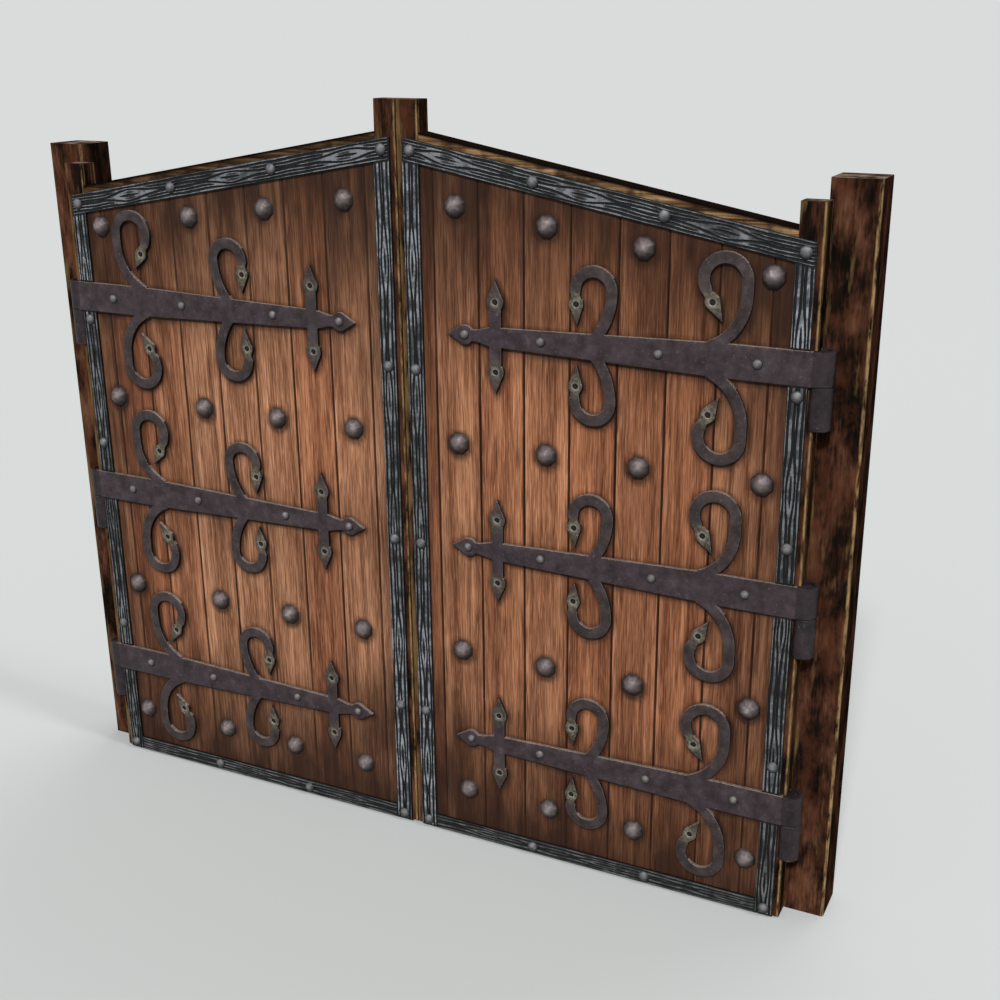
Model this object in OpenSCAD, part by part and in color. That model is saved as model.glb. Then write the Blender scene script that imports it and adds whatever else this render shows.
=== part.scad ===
// Double timber gate with a gabled head. Two boarded leaves hang on wrought iron strap hinges
// in front of two square posts. The meeting line of the leaves is x = 0, the ground is z = 0,
// the front faces -Y, and the left half is the mirror image of the right half.

/* [Leaves] */
// Width of one leaf, from its meeting edge to its hinge edge
leaf_w = 1300; // [1150:10:1600]
// Gap between the two leaves where they meet
meeting_gap = 3; // [2:0.5:8]
// Clearance under the leaves
ground_gap = 8; // [4:1:30]
// Horn of a meeting stile above the ridge line
meeting_horn = 80; // [40:1:200]
// Horn of a hinge stile above the rail's line
hinge_horn = 85; // [40:1:200]
// Face width of a stile
stile_w = 74; // [64:1:110]
// Depth of the frame, front of the stiles to their back
frame_t = 60; // [52:1:90]
// Rebate along the stiles and the top rail that takes the edge of the boarding
rebate = 15; // [8:1:20]
// Length of the tenons that join rail and ledges to the stiles
tenon_len = 40; // [20:1:50]

/* [Top rail] */
// Height of the rail's top edge, carried on to the meeting line
ridge_h = 2379; // [2000:1:2800]
// Slope of the top rail in degrees
rail_slope = 10.4; // [5:0.1:12]
// Bare strip of the rail above its trim board
rail_strip = 23.5; // [12:0.5:40]
// Thickness of the rail's tenon
rail_tenon_t = 20; // [12:1:30]

/* [Boarding] */
// Thickness of the boards
board_t = 35; // [25:1:40]
// Width of the closing board beside the meeting stile
meeting_board_w = 57.5; // [45:0.5:100]
// Width of the closing board beside the hinge stile
hinge_board_w = 74.5; // [65:0.5:120]
// Play between the tops of the boards and the top rail
board_play = 0.3; // [0.2:0.1:2]
// Chamfer on the long front edges of the boards
board_chamfer = 4; // [1:0.5:8]
// Thickness of the tongue on a board's edge
tongue_t = 9; // [6:0.5:12]
// Length of the tongue
tongue_len = 8; // [5:0.5:12]
// Play of a tongue in its groove
tongue_play = 0.5; // [0.3:0.1:1]

/* [Ledges] */
// Height of a ledge on the back of the boarding
ledge_h = 130; // [90:1:180]
// Thickness of the tenon on a ledge
ledge_tenon_t = 14; // [8:1:20]
// Height of the tenon on a ledge
ledge_tenon_h = 96; // [50:1:130]

/* [Trim boards] */
// Thickness of the trim boards
trim_t = 10; // [6:0.5:11]
// Setback of the trim from the leaf's two edges
trim_setback = 20; // [10:1:26]
// Lap of the trim past the stile or rail
trim_lap = 2; // [0:0.5:8]
// Width of the sloped trim board
top_trim_w = 65; // [45:1:90]
// Width of the bottom trim board
bottom_trim_w = 50; // [40:1:80]
// Chamfer on the trim boards' front edges
trim_chamfer = 2; // [0.5:0.5:4]
// Play between the hinge trim and the straps that cross it
trim_play = 1; // [0.5:0.5:4]

/* [Carved grain] */
// Depth of the grooves carved in the trim boards
groove_depth = 3; // [1:0.5:4]
// Width of a carved groove
groove_w = 4; // [2:0.5:5]
// Distance from a trim board's edge to its outer grooves
groove_edge = 8; // [6:0.5:10]
// Distance from a trim board's middle to its inner grooves
groove_inner = 4.5; // [4:0.5:6]
// Narrowest ridge left between an inner and an outer groove
ridge_w = 4; // [2:0.5:5]
// Length of a knot, round which the grain parts
knot_len = 250; // [150:5:300]
// Distance from one knot to the next
knot_pitch = 430; // [320:5:600]
// Length of the core carved in a knot
core_len = 90; // [50:5:120]
// Width of the core carved in a knot
core_w = 11; // [9:0.5:12]
// Width of the groove at the two ends of a core
core_end_w = 8; // [4:0.5:12]
// Distance from the foot of the meeting trim to its first knot
meeting_knot = 250; // [150:1:400]
// Distance from the foot of the hinge trim to its first knot
hinge_knot = 120; // [100:1:400]
// Distance from the upper end of the top trim to its first knot
top_knot = 160; // [100:1:400]
// Distance from the meeting end of the bottom trim to its first knot
bottom_knot = 210; // [100:1:400]
// Sideways sway of the grain
grain_sway = 1.5; // [0:0.1:2.5]
// Length of one sway of the grain
sway_len = 610; // [300:5:900]

/* [Posts] */
// Side of a square post
post_w = 140; // [110:1:180]
// Height of the posts above the hinge stiles
post_rise = 57; // [10:1:200]
// How far a post reaches in behind the leaf's hinge edge
post_lap = 14.5; // [5:0.5:30]
// Running gap between the back of a leaf and the front of its post
post_gap = 9; // [5:0.5:20]
// Chamfer on the posts' long edges
post_chamfer = 5; // [1:0.5:12]

/* [Strap hinges] */
// Height of the lowest strap's middle above the ground
strap_first = 395; // [370:1:450]
// Distance from the rail's line at the hinge edge down to the highest strap's middle
strap_drop = 363; // [340:1:450]
// Thickness of the strap iron
strap_t = 12; // [11:0.5:16]
// Height of the strap at the hinge
strap_h = 99; // [80:1:110]
// Height of the strap where its taper ends
strap_end_h = 58; // [45:1:70]
// Height of the neck behind the spear point
neck_h = 35; // [20:1:44]
// Distance from the hinge pin to the start of the strap's taper
taper_from = 276; // [150:1:350]
// Distance from the spear point's middle back to the end of the taper
taper_len = 86; // [70:1:95]
// Distance from the spear point's middle back to the neck
neck_len = 39; // [30:1:50]
// Sideways shift of the spear's rivet from the middle of its board
spear_shift = 31; // [10:1:40]
// Radius of the spear point's round shoulder
spear_r = 29.5; // [24:0.5:34]
// Length of the spear point beyond its middle
spear_reach = 57; // [45:1:60]
// Distance from the spear point's middle back to the crossbar
crossbar_len = 104; // [100:1:130]
// Width of the crossbar
crossbar_w = 38; // [26:1:46]
// Distance from the strap's middle to the nail eyes of the crossbar
crossbar_eye = 107; // [90:1:120]
// Radius of the crossbar's leaf ends
crossbar_leaf_r = 27; // [22:0.5:32]
// Length of a crossbar leaf beyond its eye
crossbar_reach = 64; // [45:1:70]

/* [Scrolls] */
// Width of the scroll iron
scroll_w = 33; // [24:1:38]
// Width of a scroll's neck above its head
scroll_neck_w = 26; // [18:1:30]
// Sideways shift of the inner scroll from the middle of its board
inner_scroll_shift = 2; // [-20:1:30]
// Height of the inner scroll's ring above the strap's middle
inner_scroll_rise = 164; // [150:1:175]
// Radius of the inner ring along its middle
inner_ring_r = 57; // [50:1:62]
// Radius of the inner scroll's stem
inner_stem_r = 210; // [190:1:240]
// Height above the strap's middle at which the inner stem starts
inner_root = 20; // [10:1:24]
// Angle by which the inner scroll curls in at its head
inner_curl = 4; // [0:1:20]
// Distance from the hinge pin to the middle of the outer scroll
outer_scroll_at = 276; // [260:1:300]
// Height of the outer scroll's ring above the strap's middle
outer_scroll_rise = 226; // [215:1:230]
// Radius of the outer ring along its middle
outer_ring_r = 63; // [55:1:66]
// Straight drop below the outer ring
outer_drop = 38; // [20:1:45]
// Radius of the outer scroll's stem
outer_stem_r = 163; // [160:1:200]
// Height above the strap's middle at which the outer stem starts
outer_root = 36; // [30:1:42]
// Angle by which the outer scroll curls in at its head
outer_curl = 30; // [10:1:36]
// Distance from a scroll's end to the nail eye in its head
head_eye = 38; // [30:1:46]
// Radius of a scroll's head round the eye
head_r = 22; // [18:0.5:26]
// Length of a scroll's head beyond the eye
head_reach = 60; // [45:1:66]

/* [Hinge pins] */
// Radius of the hinge pin
pin_r = 20.5; // [16:0.5:22]
// Radial play of the strap's eye on its pin
pin_play = 0.4; // [0.3:0.1:0.8]
// How far the strap's rolled eye stands proud of the strap's front
eye_proud = 0.5; // [0.3:0.1:2]
// Distance from the leaf's hinge edge to the pin's axis
pin_offset = 11.5; // [9:0.5:14]
// Height of the knuckle below the strap's eye
knuckle_h = 125; // [90:1:150]
// Gap between the strap's eye and the knuckle that it rides on
seat_gap = 0.3; // [0.2:0.1:0.6]
// Gap between the knuckles and the housing cut for them in the stile
housing_gap = 1.5; // [1:0.1:3]
// Chamfer on the rims of knuckle and pin
rim_chamfer = 2.5; // [1:0.5:4]
// How far the pin's end stays below the top of the eye
pin_sink = 3; // [1:0.5:10]
// Width of the arm that holds the knuckle to the post
arm_w = 24; // [18:1:28]
// Height of the arm
arm_h = 40; // [30:1:60]
// Depth of the arm's driven end inside the post
arm_depth = 100; // [70:1:105]
// Height of the driven end at its tip
arm_tip_h = 14; // [8:1:24]

/* [Studs and nails] */
// Radius of a large stud
stud_r = 37; // [28:0.5:38]
// Height of a large stud
stud_h = 26; // [24:0.5:34]
// Height of a stud's steep foot
stud_foot_h = 9; // [5:0.5:12]
// Radius of a stud at the top of its foot
stud_foot_r = 32.5; // [25:0.5:36]
// Height of a stud up to its crown
stud_crown_h = 21; // [16:0.5:23]
// Radius of a stud's crown
stud_crown_r = 18.5; // [12:0.5:24]
// Radius of the flat on a stud's top
stud_top_r = 5.5; // [2:0.5:10]
// Height of the lowest row of studs
stud_row_low = 190; // [150:1:220]
// Drop of the second row of studs below halfway between its straps
stud_second_drop = 27.5; // [0:0.5:40]
// Drop of the third row of studs below halfway between its straps
stud_third_drop = 4.5; // [0:0.5:40]
// Distance from the ridge line down to the top row of studs on the first column
stud_top_drop = 222; // [214:1:240]
// Slope of the top row of studs in degrees
stud_row_slope = 8; // [5:0.1:9]
// Sideways step of the lowest row towards the hinges
stud_step = 14; // [0:1:16]
// Radius of a trim nail's round head
nail_r = 19; // [12:0.5:20]
// Height of a trim nail's round head
nail_h = 9; // [5:0.5:12]
// Height of the meeting trim's lower nail above the lower strap
meeting_nail_low = 65; // [-100:1:200]
// Height of the meeting trim's middle nail above the middle strap
meeting_nail_mid = -16; // [-200:1:200]
// Height of the meeting trim's upper nail above the upper strap
meeting_nail_high = -127; // [-200:1:100]
// Height of the hinge trim's lower nail above the lower strap
hinge_nail_low = 143; // [80:1:250]
// Height of the hinge trim's middle nail above the middle strap
hinge_nail_mid = 161; // [80:1:250]
// Height of the hinge trim's upper nail above the upper strap
hinge_nail_high = -82; // [-250:1:-75]
// Sideways shift of a strap's rivet from the middle of the fourth board
fourth_rivet_shift = -15; // [-60:1:60]
// Sideways shift of a strap's rivet from the middle of the sixth board
sixth_rivet_shift = 54; // [-60:1:60]
// Sideways shift of a strap's rivet from the middle of the eighth board
eighth_rivet_shift = 45; // [-60:1:60]
// Radius of a strap rivet's round head
rivet_r = 15.5; // [12:0.5:18]
// Height of a strap rivet's round head
rivet_h = 8; // [5:0.5:12]
// Radius of a rivet's shank
rivet_shank_r = 6; // [4:0.5:8]
// Radius of a rivet's clenched end on the back
clench_r = 10; // [8.5:0.5:14]
// Height of a rivet's clenched end
clench_h = 4; // [2:0.5:4.5]
// Radius of the sunk nail heads in the scrolls and the crossbar
sunk_r = 9; // [7.5:0.5:11]
// Depth of the sink round those nail heads
sunk_depth = 6; // [5:0.5:8]
// Thickness of a sunk nail head
sunk_head_t = 3.5; // [2:0.5:5]
// Radius of the shank of nails and studs
shank_r = 4.5; // [3:0.5:6]
// Length of nails and studs inside the wood
shank_len = 20; // [12:1:22]
// Play round shanks in their holes
shank_play = 0.3; // [0.2:0.1:0.6]

/* [Hidden] */
$fn = 48;
SIDES = ["left", "right"];
LEVELS = ["lower", "middle", "upper"];
full_boards = 7;
BOARDS = [1:full_boards + 2];

// Places across the leaf, measured from the meeting line
meet_x = meeting_gap / 2;
edge_x = meet_x + leaf_w;
field_from = meet_x + stile_w;
field_to = edge_x - stile_w;
boards_from = field_from - rebate;
boards_to = field_to + rebate;
board_w = (boards_to - boards_from - meeting_board_w - hinge_board_w) / full_boards;
trim_w = stile_w - trim_setback + trim_lap;
pin_x = edge_x + pin_offset;
post_x = edge_x - post_lap;
spear_board = 2;
scroll_board = 5;

// Places in depth: the front of stiles, rail and boards is zero before the whole is centred
bore_r = pin_r + pin_play;
eye_r = bore_r + strap_t;
pin_y = eye_r - strap_t - eye_proud;
post_y = frame_t + post_gap;
ledge_t = frame_t - board_t;
front_y = -max(stud_h, trim_t + nail_h, strap_t + rivet_h);
back_y = post_y + post_w;
middle_y = (front_y + back_y) / 2;

// Heights
rail_w = rail_strip + top_trim_w - trim_lap;
cut_extra = 1;
leaf_inset = 0.4;
groove_step = 40;
core_steps = 8;

// Height of a line that lies a given distance below the rail's top edge, square to the slope
function sloped_z(x, below) = ridge_h - x * tan(rail_slope) - below / cos(rail_slope);

meeting_stile_h = ridge_h + meeting_horn;
hinge_stile_h = sloped_z(edge_x, 0) + hinge_horn;
post_h = hinge_stile_h + post_rise;
strap_last = sloped_z(edge_x, 0) - strap_drop;
strap_levels = [strap_first, (strap_first + strap_last) / 2, strap_last];

// Left edge of a board, counted from the meeting stile
function board_x(i) = i == 1 ? boards_from : boards_from + meeting_board_w + (i - 2) * board_w;
function board_end(i) = i == full_boards + 2 ? boards_to : board_x(i + 1);
function board_middle(i) = (board_x(i) + board_end(i)) / 2;

// Places along a strap, as distances from the hinge pin
spear_at = pin_x - board_middle(spear_board) - spear_shift;
taper_to = spear_at - taper_len;
neck_at = spear_at - neck_len;
crossbar_at = spear_at - crossbar_len;
inner_scroll_at = pin_x - board_middle(scroll_board) - inner_scroll_shift;
rivet_distances = [
    pin_x - board_middle(8) - eighth_rivet_shift,
    pin_x - board_middle(6) - sixth_rivet_shift,
    pin_x - board_middle(4) - fourth_rivet_shift];

// Studs stand on every second board, and the last column on the joint of the closing board
stud_columns = [board_middle(2), board_middle(4), board_middle(6), board_x(full_boards + 2)];
stud_row_second = (strap_levels[0] + strap_levels[1]) / 2 - stud_second_drop;
stud_row_third = (strap_levels[1] + strap_levels[2]) / 2 - stud_third_drop;
function top_stud_z(x) = ridge_h - stud_top_drop - (x - stud_columns[0]) * tan(stud_row_slope);
stud_places = concat(
    [for (x = stud_columns) [x + stud_step, stud_row_low]],
    [for (x = stud_columns) [x, stud_row_second]],
    [for (x = stud_columns) [x, stud_row_third]],
    [for (x = stud_columns) [x, top_stud_z(x)]]);

// Trim nails along the four trim boards
meeting_trim_x = meet_x + trim_setback + trim_w / 2;
hinge_trim_x = edge_x - trim_setback - trim_w / 2;
trim_pitch = (hinge_trim_x - meeting_trim_x) / 3;
bottom_nail_z = ground_gap + bottom_trim_w / 2;
meeting_nail_rises = [meeting_nail_low, meeting_nail_mid, meeting_nail_high];
hinge_nail_rises = [hinge_nail_low, hinge_nail_mid, hinge_nail_high];
meeting_nails = [for (z = concat(bottom_nail_z, strap_levels + meeting_nail_rises)) [meeting_trim_x, z]];
hinge_nails = [for (z = concat(bottom_nail_z, strap_levels + hinge_nail_rises)) [hinge_trim_x, z]];
bottom_nails = [for (i = [1, 2]) [meeting_trim_x + i * trim_pitch, bottom_nail_z]];
top_nails = [for (i = [0:3]) let (x = meeting_trim_x + i * trim_pitch)
    [x, sloped_z(x, rail_strip + top_trim_w / 2)]];

// Fastenings of one strap, as distances from the hinge pin and from the strap's middle
rivet_places = [for (at = concat(rivet_distances, spear_at)) [at, 0]];
function head_place(at, rise, ring_r, curl) = [
    at + ring_r * cos(curl) - head_eye * sin(curl),
    rise - ring_r * sin(curl) - head_eye * cos(curl)];
eye_places = [
    [crossbar_at, crossbar_eye],
    head_place(inner_scroll_at, inner_scroll_rise, inner_ring_r, inner_curl),
    head_place(outer_scroll_at, outer_scroll_rise, outer_ring_r, outer_curl)];
sunk_places = [for (p = eye_places, up = [1, -1]) [p[0], up * p[1]]];
function on_leaf(places, level) = [for (p = places) [pin_x - p[0], level + p[1]]];
all_rivets = [for (level = strap_levels) each on_leaf(rivet_places, level)];
all_sunk = [for (level = strap_levels) each on_leaf(sunk_places, level)];

// Draws its children at each place in the leaf's face, with local +Z pointing out of the front
module at_places(places, y = 0) {
    for (p = places)
        translate([p[0], y, p[1]])
            rotate([90, 0, 0])
                children();
}

// Holes for shanks that run from the front at y into the wood by a depth
module shank_holes(places, radius, depth, y = 0) {
    at_places(places, y)
        translate([0, 0, -depth])
            cylinder(r = radius + shank_play, h = depth + cut_extra);
}

// An outline in the leaf's face, from y_front back by a thickness
module face_plate(y_front, thickness) {
    translate([0, y_front + thickness, 0])
        rotate([90, 0, 0])
            linear_extrude(thickness)
                children();
}

// A band parallel to the sloped top, with upright ends
module sloped_band(x_from, x_to, above, below) {
    polygon([
        [x_from, sloped_z(x_from, above)],
        [x_to, sloped_z(x_to, above)],
        [x_to, sloped_z(x_to, below)],
        [x_from, sloped_z(x_from, below)]]);
}

// Low round head, flat side on z = 0
module dome(radius, height) {
    ball_r = (radius * radius + height * height) / (2 * height);
    intersection() {
        translate([0, 0, height - ball_r])
            sphere(ball_r);
        cylinder(r = radius + cut_extra, h = height + cut_extra);
    }
}

module rail_tenon() {
    face_plate((frame_t - rail_tenon_t) / 2, rail_tenon_t)
        sloped_band(field_from - tenon_len, field_to + tenon_len, rebate, rail_w - rebate);
}

module ledge_tenon(level) {
    translate([field_from - tenon_len, board_t + (ledge_t - ledge_tenon_t) / 2, level - ledge_tenon_h / 2])
        cube([field_to - field_from + 2 * tenon_len, ledge_tenon_t, ledge_tenon_h]);
}

module stile(x_from, height) {
    translate([x_from, 0, ground_gap])
        cube([stile_w, frame_t, height - ground_gap]);
}

module mortises() {
    rail_tenon();
    for (level = strap_levels)
        ledge_tenon(level);
}

// Rebates in both stiles for the edges of the boarding, up to the top rail
module stile_rebates() {
    face_plate(-cut_extra, board_t + cut_extra)
        polygon([
            [boards_from, ground_gap - cut_extra],
            [boards_to, ground_gap - cut_extra],
            [boards_to, sloped_z(boards_to, rail_w - rebate)],
            [boards_from, sloped_z(boards_from, rail_w - rebate)]]);
}

module meeting_stile() {
    color("#3b2619")
        difference() {
            stile(meet_x, meeting_stile_h);
            mortises();
            stile_rebates();
            shank_holes(concat(meeting_nails, top_nails), shank_r, shank_len + cut_extra);
        }
}

// The hinge stile is housed out round for the eye of each strap and the knuckle under it
module hinge_stile() {
    color("#3b2619")
        difference() {
            stile(edge_x - stile_w, hinge_stile_h);
            mortises();
            stile_rebates();
            shank_holes(concat(hinge_nails, top_nails), shank_r, shank_len + cut_extra);
            for (level = strap_levels)
                translate([pin_x, pin_y, level - strap_h / 2 - knuckle_h - seat_gap - housing_gap])
                    cylinder(r = eye_r + housing_gap, h = strap_h + knuckle_h + seat_gap + 2 * housing_gap);
        }
}

module top_rail() {
    color("#6b4a2a")
        difference() {
            union() {
                face_plate(0, board_t)
                    sloped_band(field_from, field_to, 0, rail_w - rebate);
                face_plate(board_t, ledge_t)
                    sloped_band(field_from, field_to, 0, rail_w);
                rail_tenon();
            }
            shank_holes(top_nails, shank_r, shank_len + cut_extra);
        }
}

module ledge(level) {
    color("#4a2f20")
        difference() {
            union() {
                translate([field_from, board_t, level - ledge_h / 2])
                    cube([field_to - field_from, ledge_t, ledge_h]);
                ledge_tenon(level);
            }
            shank_holes(on_leaf(rivet_places, level), rivet_shank_r, frame_t + cut_extra);
        }
}

// Section of a board: chamfered front edges, a groove towards the meeting stile, a tongue towards the hinges
module board_section(width, grooved, tongued) {
    tongue_y = (board_t - tongue_t) / 2;
    tongue = [
        [width, tongue_y],
        [width + tongue_len, tongue_y],
        [width + tongue_len, tongue_y + tongue_t],
        [width, tongue_y + tongue_t]];
    groove = [
        [0, tongue_y + tongue_t + tongue_play],
        [tongue_len + tongue_play, tongue_y + tongue_t + tongue_play],
        [tongue_len + tongue_play, tongue_y - tongue_play],
        [0, tongue_y - tongue_play]];
    polygon(concat(
        [[0, board_chamfer], [board_chamfer, 0], [width - board_chamfer, 0], [width, board_chamfer]],
        tongued ? tongue : [],
        [[width, board_t], [0, board_t]],
        grooved ? groove : []));
}

// Every hole in the boarding, as place, radius and depth
board_holes = concat(
    [for (p = stud_places) [p, shank_r, shank_len]],
    [for (p = bottom_nails) [p, shank_r, shank_len]],
    [for (p = all_sunk) [p, shank_r, shank_len]],
    [for (p = all_rivets) [p, rivet_shank_r, board_t]]);

module board(i) {
    width = board_end(i) - board_x(i);
    reach = width + tongue_len + rivet_shank_r;
    boards_below = rail_w - rebate + board_play;
    color("#80492f")
        difference() {
            intersection() {
                translate([board_x(i), 0, ground_gap])
                    linear_extrude(ridge_h)
                        board_section(width, i > 1, i < full_boards + 2);
                face_plate(-cut_extra, board_t + 2 * cut_extra)
                    polygon([
                        [boards_from - cut_extra, 0],
                        [boards_to + cut_extra, 0],
                        [boards_to + cut_extra, sloped_z(boards_to + cut_extra, boards_below)],
                        [boards_from - cut_extra, sloped_z(boards_from - cut_extra, boards_below)]]);
            }
            for (hole = board_holes)
                if (hole[0][0] > board_x(i) - rivet_shank_r - cut_extra && hole[0][0] < board_x(i) + reach)
                    shank_holes([hole[0]], hole[1], hole[2] + cut_extra);
        }
}

// A board on the front of the leaf: full outline, outline inside its chamfer, and carved grain
module trim_board(places) {
    color("#2e2e30")
        difference() {
            union() {
                face_plate(trim_chamfer - trim_t, trim_t - trim_chamfer)
                    children(0);
                face_plate(-trim_t, trim_chamfer)
                    children(1);
            }
            face_plate(-trim_t - cut_extra, groove_depth + cut_extra)
                children(2);
            shank_holes(places, shank_r, trim_t + cut_extra, -trim_t);
        }
}

// How far the grain has parted for the nearest knot, from 0 to 1
function knot_swell(u, first) =
    let (from_knot = abs(u - first - knot_pitch * round((u - first) / knot_pitch)))
    (1 + cos(180 * min(1, 2 * from_knot / knot_len))) / 2;
function grain_middle(u) = grain_sway * sin(360 * u / sway_len);

// A groove along the grain. It lies a distance off the middle and moves out by a bulge at the knots.
module groove(length, first, side, off, bulge) {
    steps = ceil(length / groove_step);
    places = [for (i = [0:steps]) -cut_extra + i * (length + 2 * cut_extra) / steps];
    function line(u, edge) = [u, grain_middle(u) + side * (off + bulge * knot_swell(u, first)) + edge];
    polygon(concat(
        [for (u = places) line(u, groove_w / 2)],
        [for (i = [steps:-1:0]) line(places[i], -groove_w / 2)]));
}

// Lens that a knot's core is carved to
module knot_lens(length, width) {
    polygon(concat(
        [for (i = [0:core_steps]) [length * (i / core_steps - 0.5), width / 2 * sin(180 * i / core_steps)]],
        [for (i = [core_steps - 1:-1:1]) [length * (i / core_steps - 0.5), -width / 2 * sin(180 * i / core_steps)]]));
}

// Grain of a trim board along +X, with the board's middle on Y = 0
module carved_grain(length, width, first) {
    outer = width / 2 - groove_edge;
    bulge = outer - groove_w - ridge_w - groove_inner;
    for (side = [-1, 1]) {
        groove(length, first, side, outer, 0);
        groove(length, first, side, groove_inner, bulge);
    }
    for (at = [first:knot_pitch:length])
        translate([at, grain_middle(at)])
            difference() {
                knot_lens(core_len, core_w);
                knot_lens(core_len - 2 * core_end_w, core_w - 2 * groove_w);
            }
}

module upright_outline(x_from, x_to) {
    polygon([
        [x_from, ground_gap],
        [x_to, ground_gap],
        [x_to, sloped_z(x_to, rail_strip + top_trim_w)],
        [x_from, sloped_z(x_from, rail_strip + top_trim_w)]]);
}

// Grain of an upright trim board, from its foot to the sloped board above it
module upright_grain(x_from, first) {
    translate([x_from + trim_w / 2, ground_gap])
        rotate(90)
            carved_grain(sloped_z(x_from, rail_strip + top_trim_w) - ground_gap, trim_w, first);
}

module meeting_trim() {
    x_from = meet_x + trim_setback;
    trim_board(meeting_nails) {
        upright_outline(x_from, x_from + trim_w);
        upright_outline(x_from + trim_chamfer, x_from + trim_w - trim_chamfer);
        upright_grain(x_from, meeting_knot);
    }
}

// The hinge trim is in lengths that fit between the straps
module hinge_trim() {
    x_from = edge_x - trim_setback - trim_w;
    difference() {
        trim_board(hinge_nails) {
            upright_outline(x_from, x_from + trim_w);
            upright_outline(x_from + trim_chamfer, x_from + trim_w - trim_chamfer);
            upright_grain(x_from, hinge_knot);
        }
        for (level = strap_levels)
            translate([x_from - cut_extra, -trim_t - cut_extra, level - strap_h / 2 - trim_play])
                cube([trim_w + 2 * cut_extra, trim_t + 2 * cut_extra, strap_h + 2 * trim_play]);
    }
}

module top_trim() {
    x_from = meet_x + trim_setback;
    x_to = edge_x - trim_setback;
    trim_board(top_nails) {
        sloped_band(x_from, x_to, rail_strip, rail_strip + top_trim_w);
        sloped_band(x_from, x_to, rail_strip + trim_chamfer, rail_strip + top_trim_w - trim_chamfer);
        translate([x_from, sloped_z(x_from, rail_strip + top_trim_w / 2)])
            rotate(-rail_slope)
                carved_grain((x_to - x_from) / cos(rail_slope), top_trim_w, top_knot);
    }
}

module bottom_trim() {
    x_from = meet_x + trim_setback + trim_w;
    length = edge_x - trim_setback - trim_w - x_from;
    trim_board(bottom_nails) {
        translate([x_from, ground_gap])
            square([length, bottom_trim_w]);
        translate([x_from, ground_gap + trim_chamfer])
            square([length, bottom_trim_w - 2 * trim_chamfer]);
        translate([x_from, ground_gap + bottom_trim_w / 2])
            carved_grain(length, bottom_trim_w, bottom_knot);
    }
}

// Round shoulder that runs out to a point along +X. The point's edges start just inside the round.
module leaf_end(radius, reach) {
    touch = acos(radius / reach);
    start = radius - leaf_inset;
    circle(radius);
    polygon([
        [0, 0],
        [start * cos(touch), start * sin(touch)],
        [reach, 0],
        [start * cos(touch), -start * sin(touch)]]);
}

// Part of a flat ring between two angles less than half a turn apart
module ring_part(radius, angle_from, angle_to) {
    far = 2 * (radius + scroll_w);
    middle = (angle_from + angle_to) / 2;
    intersection() {
        difference() {
            circle(radius + scroll_w / 2);
            circle(radius - scroll_w / 2);
        }
        polygon([
            [0, 0],
            [far * cos(angle_from), far * sin(angle_from)],
            [far * cos(middle), far * sin(middle)],
            [far * cos(angle_to), far * sin(angle_to)]]);
    }
}

// Scroll that rises from the strap on a wide stem, turns over in a ring and ends in a pointed head
module scroll(at, rise, ring_r, drop, stem_r, root, curl) {
    stem_turn = asin((rise - drop - root) / stem_r);
    translate([at, rise]) {
        ring_part(ring_r, 90, 180);
        ring_part(ring_r, -curl, 90);
        if (drop > 0)
            translate([-ring_r - scroll_w / 2, -drop])
                square([scroll_w, drop]);
        translate([stem_r - ring_r, -drop])
            ring_part(stem_r, 180, 180 + stem_turn);
        rotate(-curl)
            translate([ring_r, 0])
                rotate(-90) {
                    polygon([
                        [-cut_extra, scroll_w / 2 - leaf_inset],
                        [head_eye / 3, scroll_neck_w / 2],
                        [head_eye, head_r],
                        [head_eye, -head_r],
                        [head_eye / 3, -scroll_neck_w / 2],
                        [-cut_extra, leaf_inset - scroll_w / 2]]);
                    translate([head_eye, 0])
                        leaf_end(head_r, head_reach);
                }
    }
}

// Flat pattern of a strap: distance from the hinge pin along +X, height along +Y
module strap_outline() {
    polygon([
        [0, strap_h / 2],
        [taper_from, strap_h / 2],
        [taper_to, strap_end_h / 2],
        [neck_at, neck_h / 2],
        [spear_at, neck_h / 2],
        [spear_at, -neck_h / 2],
        [neck_at, -neck_h / 2],
        [taper_to, -strap_end_h / 2],
        [taper_from, -strap_h / 2],
        [0, -strap_h / 2]]);
    translate([spear_at, 0])
        leaf_end(spear_r, spear_reach);
    for (up = [0, 1])
        mirror([0, up]) {
            translate([crossbar_at - crossbar_w / 2, 0])
                square([crossbar_w, crossbar_eye]);
            translate([crossbar_at, crossbar_eye])
                rotate(90)
                    leaf_end(crossbar_leaf_r, crossbar_reach);
            scroll(inner_scroll_at, inner_scroll_rise, inner_ring_r, 0, inner_stem_r, inner_root, inner_curl);
            scroll(outer_scroll_at, outer_scroll_rise, outer_ring_r, outer_drop, outer_stem_r, outer_root,
                outer_curl);
        }
}

// Strap with its eye rolled back round the pin, and sinks for the nails in its leaves and heads
module strap(level) {
    color("#3d353b")
        difference() {
            union() {
                translate([pin_x, 0, level])
                    face_plate(-strap_t, strap_t)
                        mirror([1, 0])
                            strap_outline();
                translate([pin_x, pin_y, level - strap_h / 2])
                    cylinder(r = eye_r, h = strap_h);
            }
            translate([pin_x, pin_y, level - strap_h / 2 - cut_extra])
                cylinder(r = bore_r, h = strap_h + 2 * cut_extra);
            shank_holes(on_leaf(rivet_places, level), rivet_shank_r, strap_t + cut_extra, -strap_t);
            shank_holes(on_leaf(sunk_places, level), shank_r, strap_t + cut_extra, -strap_t);
            shank_holes(on_leaf(sunk_places, level), sunk_r, sunk_depth, -strap_t);
        }
}

// Side outline of the arm: level to the post's face, then a taper to its driven tip
module arm_outline(from) {
    polygon([
        [from, arm_h / 2],
        [post_y, arm_h / 2],
        [post_y + arm_depth, arm_tip_h / 2],
        [post_y + arm_depth, -arm_tip_h / 2],
        [post_y, -arm_h / 2],
        [from, -arm_h / 2]]);
}

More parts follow.
